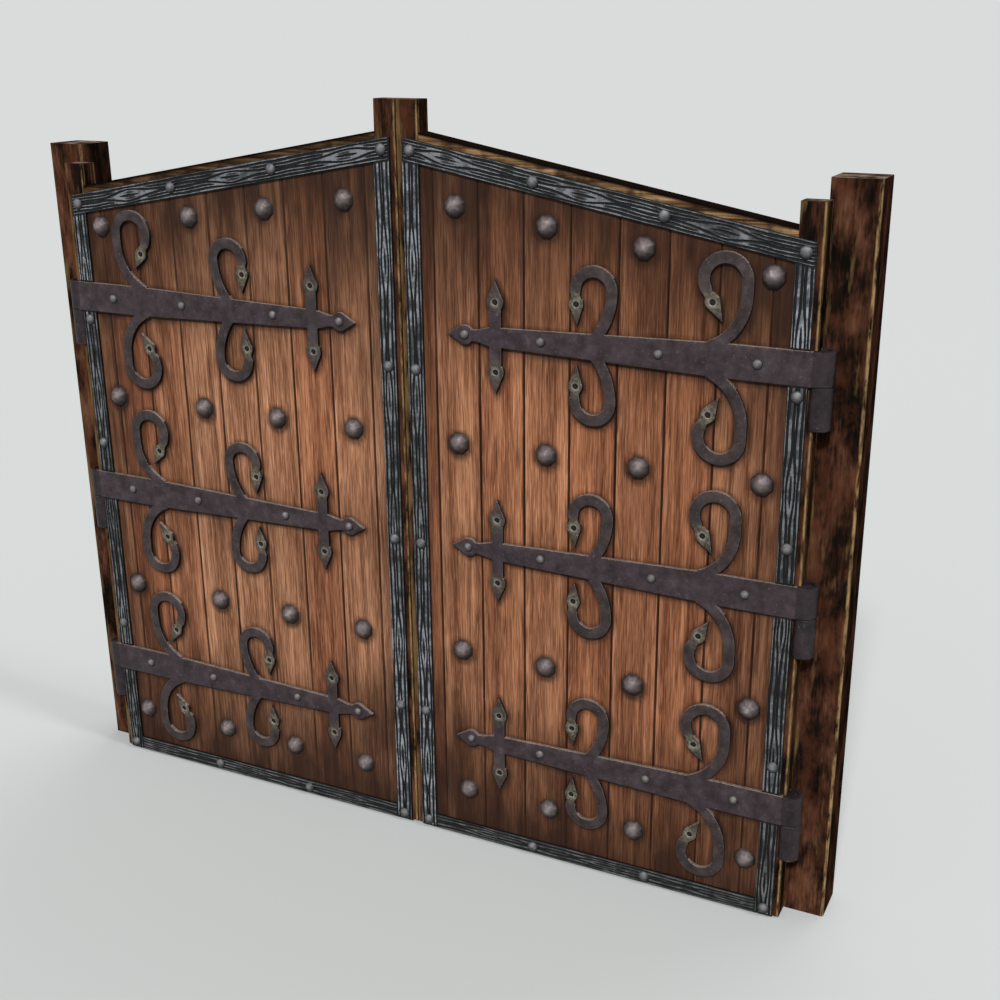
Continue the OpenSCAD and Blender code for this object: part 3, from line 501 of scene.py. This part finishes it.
def iron_on_boards(side):
    """Search tree of the straps and studs that lie on a leaf's boards."""
    bm = bmesh.new()
    for node in [f"{side}_{level}_strap" for level in LEVELS] + [f"{side}_studs"]:
        bm.from_mesh(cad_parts[node].data)
    tree = BVHTree.FromBMesh(bm)
    bm.free()
    return tree


def darkening(distance, share, near, far):
    """Share of dirt and painted shade at a distance from what gathers it."""
    return share * fade(distance, near, far)


def board_dirt_and_shade(point, iron, straps):
    """How dark a board is at a point from dirt and painted shade: 0 clean, 1 black."""
    out = abs(point.x)
    rail_line = RIGHT_TOP[1].z - TOP_TRIM_DROP - math.tan(HEAD_SLOPE) * (out - RIGHT_TOP[0].x)
    drop = rail_line - point.z
    rise = point.z - BOARDS_FOOT
    corner = max(fade(drop, *CORNER_HEIGHT), fade(rise, *CORNER_HEIGHT))
    off_lit_middle = math.hypot((out - LIT_MIDDLE_AT[0]) / LIT_MIDDLE_REACH[0],
                          (point.z - LIT_MIDDLE_AT[1]) / LIT_MIDDLE_REACH[1])
    # Painted shadow below the straps and studs
    *_, iron_gap = iron.find_nearest(point + SHADOW_DROP)
    shares = [darkening(drop, *TOP_DIRT_AND_SHADE),
              darkening(rise, *FOOT_DIRT_AND_SHADE),
              darkening(BOARDS_TO - out, *HINGE_DIRT_AND_SHADE),
              darkening(out - BOARDS_FROM, *MEETING_DIRT_AND_SHADE),
              CORNER_SHARE * corner * fade(out - BOARDS_FROM, *CORNER_WIDTH),
              # Painted shade outside the lit middle of the leaf
              LIT_MIDDLE_SHARE * (1 - fade(off_lit_middle, *LIT_MIDDLE_EDGE)),
              darkening(iron_gap, *IRON_SHADOW)]
    for low, high in straps:
        away = max(low.x - point.x, point.x - high.x, low.z - point.z, point.z - high.z)
        shares.append(darkening(away, *STRAP_DIRT_AND_SHADE))
    clean = 1.0
    for share in shares:
        clean *= 1 - share
    return 1 - clean


def oiled_boards(side, material, rng):
    """The boards of a leaf: each has its own tint, dark joints, and dirt and painted shade where they
    gather.
    """
    iron = iron_on_boards(side)
    straps = []
    for level in LEVELS:
        low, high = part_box(f"{side}_{level}_strap")
        middle = (low.z + high.z) / 2
        straps.append((Vector((low.x, 0, middle - STRAP_HALF_W)),
                       Vector((high.x, 0, middle + STRAP_HALF_W))))
    for number in BOARD_NUMBERS:
        node = f"{side}_board_{number}"
        bm = worked_copy(node)
        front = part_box(node)[0].y
        face = [vert.co.x for vert in bm.verts if vert.co.y < front + ON_PLANE]
        face_from, face_to = min(face), max(face)
        cut_across(bm, X_AXIS, BOARD_CELL)
        cut_at(bm, X_AXIS, (face_from + JOINT_LINE, face_to - JOINT_LINE))
        cut_across(bm, Z_AXIS, BOARD_CELL_Z)
        tint = bm.verts.layers.float.new("tint")
        dirt_and_shade = bm.verts.layers.float.new("dirt_and_shade")
        arris_highlight = bm.verts.layers.float.new("arris_highlight")
        shade = rng.random()
        lit_edge = rng.choice(LIT_EDGES)
        for vert in bm.verts:
            vert[tint] = shade
            inside = min(vert.co.x - face_from, face_to - vert.co.x)
            if inside < ON_PLANE:
                vert[dirt_and_shade] = 1.0
            elif vert.co.y < front + ON_PLANE:
                vert[dirt_and_shade] = board_dirt_and_shade(vert.co, iron, straps)
                vert[arris_highlight] = lit_edge * fade(vert.co.x - face_from, *ARRIS_STRIP)
            else:
                vert[dirt_and_shade] = BACK_GRIME
        finished(f"{node}_oak", bm, material, f"{side}_leaf", node)


# Charred timbers: cells for wear, and the chips along their arrises
TIMBER_CELL = 0.02
TIMBER_CELL_Z = 0.045
ARRIS_REACH = 0.028
CHIP_REACH = 0.008
CHIP_DEPTH = 0.0022
CHIP_SPOTS = (9, 9, 14)


def charred_timber(node, body, material):
    """A timber with chipped arrises, painted with the distance from them."""
    bm = worked_copy(node)
    low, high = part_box(node)
    middle = (low + high) / 2
    upright = high.z - low.z > high.x - low.x
    cut_across(bm, X_AXIS, TIMBER_CELL)
    cut_across(bm, Y_AXIS, TIMBER_CELL)
    cut_at(bm, X_AXIS, (low.x + ARRIS_REACH, high.x - ARRIS_REACH))
    cut_across(bm, Z_AXIS, TIMBER_CELL_Z)
    worn_side = bm.verts.layers.float.new("worn_side")
    tan_side = bm.verts.layers.float.new("tan_side")
    for vert in bm.verts:
        place = vert.co
        if upright:
            right, left = high.x - place.x, place.x - low.x
        else:
            right, left = high.z - place.z, place.z - low.z
        arris_gap = sorted((right, left, place.y - low.y, high.y - place.y))[1]
        vert[worn_side] = clamp(max(right, arris_gap) / ARRIS_REACH)
        vert[tan_side] = clamp(max(left, arris_gap) / ARRIS_REACH)
        chip = fade(arris_gap, 0.0, CHIP_REACH) * clamp(uneven(place, CHIP_SPOTS))
        inward = Vector((place.x, middle.y, place.z)) - place
        vert.co = place + inward.normalized() * chip * CHIP_DEPTH
    finished(f"{node}_charred", bm, material, body, node)


# Top rails: thin slices below the top edge and from front to back, and how dark each rail is stained
RAIL_CELL = 0.05
RAIL_T = 0.060
RAIL_SLICE = 0.006
RAIL_SLICES = 4
RAIL_REACH = 0.100
RAIL_STAIN = {"left": 0.72, "right": 0.0}


def sawn_rail(side, material):
    """The sloped rail of a leaf, painted with the way over its top edge from the back to the front."""
    node = f"{side}_top_rail"
    bm = worked_copy(node)
    upward = Vector((SIDES[side] * math.sin(HEAD_SLOPE), 0, math.cos(HEAD_SLOPE)))
    edge = max(vert.co.dot(upward) for vert in bm.verts)
    cut_at(bm, upward, [edge - i * RAIL_SLICE for i in range(1, RAIL_SLICES + 1)])
    cut_across(bm, X_AXIS, RAIL_CELL)
    cut_across(bm, Y_AXIS, RAIL_SLICE)
    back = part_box(node)[1].y
    below = bm.verts.layers.float.new("below")
    stained = bm.verts.layers.float.new("stained")
    for vert in bm.verts:
        drop = edge - vert.co.dot(upward)
        behind = vert.co.y > back - ON_PLANE and drop > ON_PLANE
        vert[below] = clamp((drop + (RAIL_T if behind else back - vert.co.y)) / RAIL_REACH)
        vert[stained] = RAIL_STAIN[side]
    finished(f"{node}_sawn", bm, material, f"{side}_leaf", node)


# Carved trim: the CAD's own run of knots, between grooves
TRIM_CHAMFER = 0.002
GROOVE_DEPTH = 0.003
GROOVE_W = 0.004
GROOVE_EDGE = 0.008
GROOVE_INNER = 0.0045
RIDGE_W = 0.004
KNOT_LEN = 0.25
KNOT_PITCH = 0.43
FIRST_KNOT = {"meeting": 0.25, "hinge": 0.12, "top": 0.16, "bottom": 0.21}
CORE_LEN = 0.09
CORE_W = 0.011
GRAIN_SWAY = 0.0015
SWAY_LEN = 0.61

# Its cells, the flanks of cuts, knot cores and the fine lines between them, and the carver's unsteady hand
CARVE_ACROSS = 0.0012
CARVE_ALONG = 0.007
CUT_SIDES = (0.0025, 0.0043)
KNOT_NARROWING = 0.36
CORE_SIDES = (0.35, 0.80)
FINE_SIDES = (0.0017, 0.0035)
FINE_ROOM = (0.015, 0.019)
HAND_WANDER = 0.0030
HAND_SPOTS = (12, 30, 90)
FIBRE_DEPTH = 0.0004
FIBRE_SPOTS = (16, 260, 90)
BACK_CARVE = 0.1

# How far its ridges are rubbed pale: by trim, by height at the hinges, and less about the middle height
RUBBED = {"meeting": 0.85, "top": 0.45, "bottom": 0.0}
HINGE_RUBBED_H = 1.9
DULL_HEIGHT = 1.25
DULL_REACH = (0.15, 0.75)
DULL_SHARE = 0.65

# A trim board as it is laid on the right leaf: its middle line starts at a point (out, up) and turns from
# level, and its foot and head are places along that line, each with a lean across it
TrimBoard = namedtuple("TrimBoard", "start turn width foot head foot_lean head_lean")


def carved_depth(along, across, width, first_knot):
    """How deep the carving is at a place on a trim board."""
    outer = width / 2 - GROOVE_EDGE
    bulge = outer - GROOVE_W - RIDGE_W - GROOVE_INNER
    off = along - first_knot - KNOT_PITCH * round((along - first_knot) / KNOT_PITCH)
    swell = (1 + math.cos(math.pi * min(1, 2 * abs(off) / KNOT_LEN))) / 2
    inner = GROOVE_INNER + bulge * swell
    sway = GRAIN_SWAY * math.sin(2 * math.pi * along / SWAY_LEN)
    place = abs(across - sway) + HAND_WANDER * uneven((along, across, width), HAND_SPOTS)
    slim = 1 - KNOT_NARROWING * swell
    near, far = [slim * reach for reach in CUT_SIDES]
    depth = max(fade(abs(place - line), near, far) for line in (outer, inner))
    if abs(off) < CORE_LEN / 2:
        core = CORE_W / 2 * math.cos(math.pi * off / CORE_LEN)
        depth = max(depth, fade(place / core, *CORE_SIDES))
    for begin, end in ((inner, outer), (0.0, inner)):
        room = 1 - fade(end - begin, *FINE_ROOM)
        depth = max(depth, room * fade(abs(place - (begin + end) / 2), *FINE_SIDES))
    fibre = uneven((along, across, width), FIBRE_SPOTS) * FIBRE_DEPTH
    return GROOVE_DEPTH * depth + max(0.0, fibre)


def carved_board(bm, side, board, first_knot, rubbed_share):
    """Adds one carved trim board to a shell."""
    shell = bmesh.new()
    half = board.width / 2
    longest = board.head - board.foot + abs(board.head_lean - board.foot_lean) * half
    bmesh.ops.create_grid(shell, x_segments=max(2, round(longest / CARVE_ALONG)),
                          y_segments=round(board.width / CARVE_ACROSS), size=0.5)
    carve = shell.verts.layers.float.new("carve")
    rubbed = shell.verts.layers.float.new("rubbed")
    cos, sin = math.cos(board.turn), math.sin(board.turn)
    for vert in shell.verts:
        across = vert.co.y * board.width
        low = board.foot + board.foot_lean * across
        high = board.head + board.head_lean * across
        along = low + (vert.co.x + 0.5) * (high - low)
        rim_gap = min(half - abs(across), along - low, high - along)
        depth = max(carved_depth(along, across, board.width, first_knot), TRIM_CHAMFER - rim_gap)
        vert.co = Vector((SIDES[side] * (board.start[0] + along * cos - across * sin),
                          TRIM_FRONT + depth,
                          board.start[1] + along * sin + across * cos))
        vert[carve] = 1 - clamp(depth / GROOVE_DEPTH)
        vert[rubbed] = rubbed_share * (1 - DULL_SHARE * fade(abs(vert.co.z - DULL_HEIGHT), *DULL_REACH))
    rim = [edge for edge in shell.edges if edge.is_boundary]
    backed = bmesh.ops.extrude_edge_only(shell, edges=rim)["geom"]
    for item in backed:
        if isinstance(item, bmesh.types.BMVert):
            item.co.y = LEAF_FRONT
            item[carve] = BACK_CARVE
    bmesh.ops.edgeloop_fill(shell, edges=[item for item in backed if isinstance(item, bmesh.types.BMEdge)
                                          and item.is_boundary])
    bmesh.ops.recalc_face_normals(shell, faces=shell.faces)
    merge_in(bm, shell)


def laid_board(trim, low, high, top_lean):
    """The trim board that fills a CAD box, with the lean of its top end if it stands upright."""
    near, far = sorted((abs(low.x), abs(high.x)))
    if trim == "top":
        lean = -math.tan(HEAD_SLOPE)
        length = (far - near) / math.cos(HEAD_SLOPE)
        return TrimBoard((near, high.z - TOP_TRIM_DROP / 2), -HEAD_SLOPE, TOP_TRIM_W,
                         0.0, length, lean, lean)
    if trim == "bottom":
        return TrimBoard((near, (low.z + high.z) / 2), 0.0, high.z - low.z,
                         0.0, far - near, 0.0, 0.0)
    width = far - near
    head = high.z - LEAF_FOOT - top_lean * width / 2
    return TrimBoard(((near + far) / 2, LEAF_FOOT), math.pi / 2, width,
                     low.z - LEAF_FOOT, head, 0.0, top_lean)


def carved_trims(side, material):
    """The four trims of a leaf, each carved along its grain. The hinge trim is in several lengths."""
    for trim, first_knot in FIRST_KNOT.items():
        node = f"{side}_{trim}_trim"
        solids = solids_of(node)
        highest = max(high.z for low, high in solids)
        bm = bmesh.new()
        for low, high in solids:
            top_lean = math.tan(HEAD_SLOPE) if high.z == highest else 0.0
            if trim == "hinge":
                rubbed = clamp((low.z + high.z) / 2 / HINGE_RUBBED_H)
            else:
                rubbed = RUBBED[trim]
            carved_board(bm, side, laid_board(trim, low, high, top_lean), first_knot, rubbed)
        finished(f"{node}_carved", bm, material, f"{side}_leaf", node)


# Forged straps: rounded front edges, hammer dents, and the eye, which keeps its round form
STRAP_ROUND = 0.0028
STRAP_CELL = 0.011
SHARP_FOLD = math.radians(30)
DENT_DEPTH = 0.0009
DENT_SPOTS = (38, 38, 38)
EYE_KEEP = 0.05
EYE_SEAM = 0.0035

# Their painted shade on faces that turn down, at the lower seam of the eye and on the sides, and the soot of
# the eye
UNDER_SHADE = 1.4
EYE_SOOT = 0.45
SEAM_SHADE = 0.95
SIDE_SHADE = 0.8
SIDE_SHADE_TURN = 1.2

# Their wear and painted highlight: how far a rounded edge leans, how pale it is worn, how much painted
# highlight it gains as it turns up, and the painted highlight on the top faces
BEVEL_LEAN = (0.15, 0.95)
EDGE_WEAR = 0.45
EDGE_HIGHLIGHT_TURN = 0.75
TOP_EDGE = 0.6
TOP_HIGHLIGHT = 0.55

# The heads round their sunk nails, and how far from the bar scrolls begin and from the tip crossbars end
SUNK_NAIL_W = 0.021
SCROLL_FROM = 0.06
CROSSBAR_TO = 0.30
CROSSBAR_HEAD = 0.35
HEAD_REACH = (0.022, 0.048)
RIM_REACH = (0.0115, 0.0150)
RIM_SHARE = 0.45
OLIVE_FROM = (0.050, 0.085)


def forged_strap(side, level, material):
    """A strap hinge leaf with worn, rounded edges and a hammered face."""
    node = f"{side}_{level}_strap"
    bm = worked_copy(node)
    low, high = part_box(node)
    point_end, hinge_end = sorted((abs(low.x), abs(high.x)))
    middle = (low.z + high.z) / 2
    edges = [edge for edge in bm.edges if all(abs(vert.co.y - STRAP_FRONT) < ON_PLANE for vert in edge.verts)
             and edge.calc_face_angle(0) > SHARP_FOLD]
    bmesh.ops.bevel(bm, geom=edges, offset=STRAP_ROUND, segments=2, profile=0.5,
                    affect="EDGES", material=-1, clamp_overlap=True)
    cut_across(bm, X_AXIS, STRAP_CELL)
    cut_across(bm, Z_AXIS, STRAP_CELL)
    seam = min(vert.co.z for vert in bm.verts if abs(vert.co.x) > hinge_end - EYE_KEEP) + EYE_SEAM
    cut_at(bm, Z_AXIS, (seam,))
    wear = bm.faces.layers.float.new("wear")
    soot_and_shade = bm.faces.layers.float.new("soot_and_shade")
    for face in bm.faces:
        centre = face.calc_center_median()
        upward = face.normal.z
        forward = -face.normal.y
        # Painted shade under the iron, on its sides and in the seam below the eye; the eye itself is sooty
        if abs(centre.x) > hinge_end - EYE_KEEP:
            face[soot_and_shade] = SEAM_SHADE if centre.z < seam else clamp(-UNDER_SHADE * upward, EYE_SOOT)
            continue
        if abs(forward) < BEVEL_LEAN[0]:
            face[soot_and_shade] = clamp(SIDE_SHADE - SIDE_SHADE_TURN * upward)
        else:
            face[soot_and_shade] = clamp(-UNDER_SHADE * upward)
        # Worn pale rounded edges, with a painted highlight that grows as they turn up, and a painted
        # highlight on the top faces
        if BEVEL_LEAN[0] < forward < BEVEL_LEAN[1]:
            face[wear] = clamp(EDGE_WEAR + EDGE_HIGHLIGHT_TURN * upward)
        elif upward > TOP_EDGE:
            face[wear] = TOP_HIGHLIGHT
    head = bm.verts.layers.float.new("head")
    rim = bm.verts.layers.float.new("rim")
    olive = bm.verts.layers.float.new("olive")
    eyes = [(first + last) / 2 for first, last in solids_of(f"{side}_strap_nails")
            if last.x - first.x < SUNK_NAIL_W and low.z < first.z < high.z]
    for vert in bm.verts:
        place = vert.co
        if place.y > STRAP_FRONT + STRAP_ROUND + ON_PLANE:
            continue
        gap = min(math.hypot(place.x - eye.x, place.z - eye.z) for eye in eyes)
        scroll = abs(place.z - middle) > SCROLL_FROM and abs(place.x) > point_end + CROSSBAR_TO
        vert[head] = (1.0 if scroll else CROSSBAR_HEAD) * fade(gap, *HEAD_REACH)
        vert[rim] = RIM_SHARE * fade(gap, *RIM_REACH)
        vert[olive] = 1 - fade(abs(place.z - middle), *OLIVE_FROM)
        if abs(place.x) < hinge_end - EYE_KEEP:
            place.y += DENT_DEPTH * clamp(uneven(place, DENT_SPOTS))
    finished(f"{node}_forged", bm, material, f"{side}_leaf", node)


# Studs: their form, how far a beaten corner wanders, and their tone: dark at the rim as painted shade, paler
# by rise as a rubbed crown and painted light, and a painted highlight by height
STUD_R = 0.037
STUD_H = 0.026
STUD_ROUND = 0.0024
STUD_WANDER = 0.0012
STUD_TONE = 0.08
STUD_TONE_RISE = 0.80
STUD_LIGHT_UP = 0.28

# Nail and rivet heads: rings of flats (their lean in degrees, how many), how much these vary, and their
# tone, with painted shade at the rim and painted light towards the front and the top
NAIL_FLATS = ((28, 7), (62, 5), (90, 1))
FLAT_LEAN = 7
FLAT_GAP = 0.08
FLAT_SHARPNESS = 44
DOME_SPLITS = 3
DOME_TONE = 0.05
DOME_TONE_RISE = 0.85
DOME_LIGHT_UP = 0.3

# How steel grey the heads are, the least height of a domed one, and the rods and clenched ends behind them
HEAD_STEEL = {"trim_nails": 0.85, "strap_nails": 0.4}
CLENCH_STEEL = 0.25
MIN_DOME = 0.002
SUNK_HEAD_T = 0.004
SHANK_SIDES = 12
SHANK_R = 0.0045
RIVET_SHANK_R = 0.006
CLENCH_R = 0.010
CLENCH_H = 0.004


def hammered_dome(bm, base, radius, height, steel_share, rng):
    """Adds a head beaten to uneven flats. Its base is a point on the wood, and it rises to the front."""
    dome = bmesh.new()
    bmesh.ops.create_icosphere(dome, subdivisions=DOME_SPLITS, radius=1.0)
    cut = bmesh.ops.bisect_plane(dome, geom=dome.verts[:] + dome.edges[:] + dome.faces[:], dist=ON_PLANE,
                                 plane_co=(0, 0, 0), plane_no=(0, 1, 0), clear_outer=True)
    rim = [item for item in cut["geom_cut"] if isinstance(item, bmesh.types.BMEdge)]
    bmesh.ops.edgeloop_fill(dome, edges=rim)
    facing = []
    for lean, count in NAIL_FLATS:
        begin = rng.uniform(0, 360)
        for i in range(count):
            tilt = math.radians(lean + rng.uniform(-FLAT_LEAN, FLAT_LEAN))
            round_it = math.radians(begin + 360 * i / count + rng.uniform(-FLAT_LEAN, FLAT_LEAN))
            normal = Vector((math.cos(tilt) * math.cos(round_it), -math.sin(tilt),
                             math.cos(tilt) * math.sin(round_it)))
            facing.append(normal / (1 - rng.uniform(0, FLAT_GAP)))
    crown = dome.verts.layers.float.new("crown")
    steel = dome.verts.layers.float.new("steel")
    for vert in dome.verts:
        way = vert.co.normalized()
        nearness = sum(max(0.0, way.dot(normal)) ** FLAT_SHARPNESS for normal in facing)
        reach = min(nearness ** (-1 / FLAT_SHARPNESS), 1.0)
        # Painted light: paler towards the front and the top, with painted shade at the rim
        vert[crown] = clamp(-way.y * DOME_TONE_RISE + DOME_TONE + DOME_LIGHT_UP * way.z)
        vert[steel] = steel_share
        vert.co = base + Vector((way.x * reach * radius, way.y * reach * height, way.z * reach * radius))
    bmesh.ops.recalc_face_normals(dome, faces=dome.faces)
    merge_in(bm, dome)


def shank(bm, base, radius, length):
    """Adds the round shank behind a head."""
    rod = bmesh.new()
    made = bmesh.ops.create_cone(rod, cap_ends=True, segments=SHANK_SIDES, radius1=radius, radius2=radius,
                                 depth=length)["verts"]
    for vert in made:
        vert.co = base + Vector((vert.co.x, vert.co.z + length / 2, vert.co.y))
    bmesh.ops.recalc_face_normals(rod, faces=rod.faces)
    merge_in(bm, rod)


def hammered_studs(side, material, rng):
    """The large studs of a leaf: eight-sided heads, beaten uneven, with rounded edges."""
    node = f"{side}_studs"
    middles = [(low + high) / 2 for low, high in solids_of(node)]
    bm = worked_copy(node)
    heads = {vert for vert in bm.verts if vert.co.y < LEAF_FRONT + ON_PLANE}
    raised = [vert for vert in heads if vert.co.y < LEAF_FRONT - ON_PLANE]
    for vert in sorted(raised, key=lambda vert: vert.index):
        vert.co += Vector((rng.uniform(-1, 1), rng.uniform(0, 1), rng.uniform(-1, 1))) * STUD_WANDER
    edges = [edge for edge in bm.edges if all(vert in heads for vert in edge.verts)
             and any(vert.co.y < LEAF_FRONT - ON_PLANE for vert in edge.verts)]
    bmesh.ops.bevel(bm, geom=edges, offset=STUD_ROUND, segments=2, profile=0.5,
                    affect="EDGES", material=-1, clamp_overlap=True)
    crown = bm.verts.layers.float.new("crown")
    for vert in bm.verts:
        vert.co.y = max(vert.co.y, LEAF_FRONT - STUD_H)
        middle = min(middles, key=lambda place: math.hypot(place.x - vert.co.x, place.z - vert.co.z))
        # Painted shade at the rim and painted light higher up, besides the rubbed crown
        rise = clamp((LEAF_FRONT - vert.co.y) / STUD_H)
        up = (vert.co.z - middle.z) / STUD_R
        vert[crown] = clamp(STUD_TONE + STUD_TONE_RISE * rise + STUD_LIGHT_UP * up)
    finished(f"{node}_hammered", bm, material, f"{side}_leaf", node)


def hammered_heads(side, material, rng):
    """Trim nails and strap fastenings of a leaf, each on its CAD place."""
    seats = {"trim_nails": TRIM_FRONT, "strap_nails": STRAP_FRONT}
    for kind, seat in seats.items():
        node = f"{side}_{kind}"
        bm = bmesh.new()
        for low, high in solids_of(node):
            base = Vector(((low.x + high.x) / 2, seat, (low.z + high.z) / 2))
            radius = (high.x - low.x) / 2
            domed = seat - low.y > MIN_DOME
            if domed:
                hammered_dome(bm, base, radius, seat - low.y, HEAD_STEEL[kind], rng)
            else:
                base.y = low.y
                shank(bm, base, radius, SUNK_HEAD_T)
                base.y = seat
            if domed and kind == "strap_nails":
                shank(bm, base, RIVET_SHANK_R, high.y - CLENCH_H - seat)
                base.y = high.y - CLENCH_H
                hammered_dome(bm, base, CLENCH_R, -CLENCH_H, CLENCH_STEEL, rng)
            else:
                shank(bm, base, SHANK_R, high.y - seat)
        finished(f"{node}_hammered", bm, material, f"{side}_leaf", node)


# The gate, one half after the other. One seeded run of chance marks goes through all pieces in turn.
MARK_SEED = 20
chance = random.Random(MARK_SEED)
board_oak = oiled_oak()
char = charred_larch("charred larch", True)
ledge_char = charred_larch("charred larch, laid flat", False)
rail_oak = sawn_rail_oak()
bog_oak = carved_bog_oak()
strap_iron = forged_iron("forged iron", ("#261d20", "#372c30", "#43383d", "#554a4e"))
pintle_iron = forged_iron("sooty forged iron", ("#1a1416", "#271f22", "#32282c", "#40363a"))
head_iron = hammered_iron()

for side in SIDES:
    leaf = f"{side}_leaf"
    oiled_boards(side, board_oak, chance)
    charred_timber(f"{side}_post", "frame", char)
    for timber in ("hinge_stile", "meeting_stile"):
        charred_timber(f"{side}_{timber}", leaf, char)
    for level in LEVELS:
        charred_timber(f"{side}_{level}_ledge", leaf, ledge_char)
    carved_trims(side, bog_oak)
    for level in LEVELS:
        forged_strap(side, level, strap_iron)
        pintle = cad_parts[f"{side}_{level}_pintle"]
        pintle.data.materials.clear()
        pintle.data.materials.append(pintle_iron)
    hammered_studs(side, head_iron, chance)
    hammered_heads(side, head_iron, chance)
    sawn_rail(side, rail_oak)

# Studio: a pale floor that fades into the backdrop, an even sky and three soft lamps
BACKDROP = "#d9dcdb"
FLOOR_HALF = 40.0
FLOOR_FADE = (4.5, 14.0)
SKY_STRENGTH = 0.42

# Lamps: name, strength, then spread, lean and turn in degrees
LAMPS = (("front key", 3.1, 8, 46, 12),
         ("right side", 0.8, 9, 46, 84),
         ("back fill", 0.9, 60, -50, -10))

# The photograph's camera: lens and sensor in mm, tilt below level and turn to the left in degrees
CAMERA_LENS = 48.386
CAMERA_SENSOR = 36
CAMERA_SHIFT = -0.0358
CAMERA_PLACE = (2.1148, -3.6517, 2.6472)
CAMERA_TILT = 19.241
CAMERA_TURN = 24.964


def looked_at(tree):
    """1 where the studio is seen, straight on, mirrored or through something, and 0 where it only lights."""
    ray = add(tree, "ShaderNodeLightPath")
    seen = add(tree, "ShaderNodeMath", {0: ray.outputs["Is Camera Ray"], 1: ray.outputs["Is Glossy Ray"]},
               operation="MAXIMUM").outputs[0]
    return add(tree, "ShaderNodeMath", {0: seen, 1: ray.outputs["Is Transmission Ray"]},
               operation="MAXIMUM").outputs[0]


def pale_floor():
    """A matt floor, grey white near the gate and as pale as the backdrop further off."""
    material, tree, shader = new_material("pale floor")
    place = add(tree, "ShaderNodeTexCoord").outputs["Object"]
    away = add(tree, "ShaderNodeVectorMath", {0: place}, operation="LENGTH").outputs["Value"]
    far = add(tree, "ShaderNodeMapRange", {"Value": away, "From Min": FLOOR_FADE[0],
                                           "From Max": FLOOR_FADE[1]},
              interpolation_type="SMOOTHSTEP").outputs[0]
    seen = looked_at(tree)
    glow = add(tree, "ShaderNodeEmission", {"Color": linear(BACKDROP), "Strength": seen}).outputs[0]
    matt = add(tree, "ShaderNodeMix", {MIX_SHARE: seen, COLOUR_A: linear("#7d7f7f"),
                                       COLOUR_B: linear("#b6b9b8")}, data_type="RGBA").outputs[COLOUR_OUT]
    tree.links.new(matt, shader.inputs["Base Color"])
    shader.inputs["Roughness"].default_value = 0.9
    shader.inputs["Specular IOR Level"].default_value = 0.1
    blend = add(tree, "ShaderNodeMixShader", {0: far, 1: shader.outputs[0], 2: glow}).outputs[0]
    tree.links.new(blend, tree.nodes["Material Output"].inputs["Surface"])
    return material


floor_shell = bmesh.new()
bmesh.ops.create_grid(floor_shell, x_segments=1, y_segments=1, size=FLOOR_HALF)
floor_mesh = bpy.data.meshes.new("floor")
floor_shell.to_mesh(floor_mesh)
floor_shell.free()
floor_mesh.materials.append(pale_floor())
floor = bpy.data.objects.new("floor", floor_mesh)
bpy.context.scene.collection.objects.link(floor)

world = bpy.data.worlds.new("studio")
world.use_nodes = True
sky = world.node_tree
sky.nodes.clear()
light = add(sky, "ShaderNodeBackground", {"Color": linear("#ffffff"), "Strength": SKY_STRENGTH}).outputs[0]
backdrop = add(sky, "ShaderNodeBackground", {"Color": linear(BACKDROP), "Strength": 1.0}).outputs[0]
both = add(sky, "ShaderNodeMixShader", {0: looked_at(sky), 1: light, 2: backdrop}).outputs[0]
add(sky, "ShaderNodeOutputWorld", {"Surface": both})
bpy.context.scene.world = world

for name, strength, spread, lean, turn in LAMPS:
    lamp = bpy.data.lights.new(name, "SUN")
    lamp.energy = strength
    lamp.angle = math.radians(spread)
    holder = bpy.data.objects.new(name, lamp)
    holder.rotation_euler = (math.radians(lean), 0, math.radians(turn))
    bpy.context.scene.collection.objects.link(holder)

camera_data = bpy.data.cameras.new("photo camera")
camera_data.lens = CAMERA_LENS
camera_data.sensor_width = CAMERA_SENSOR
camera_data.shift_x = CAMERA_SHIFT
camera = bpy.data.objects.new("photo camera", camera_data)
camera.location = CAMERA_PLACE
camera.rotation_euler = (math.radians(90 - CAMERA_TILT), 0, math.radians(CAMERA_TURN))
bpy.context.scene.collection.objects.link(camera)
bpy.context.scene.camera = camera

bpy.context.scene.view_settings.view_transform = "Standard"
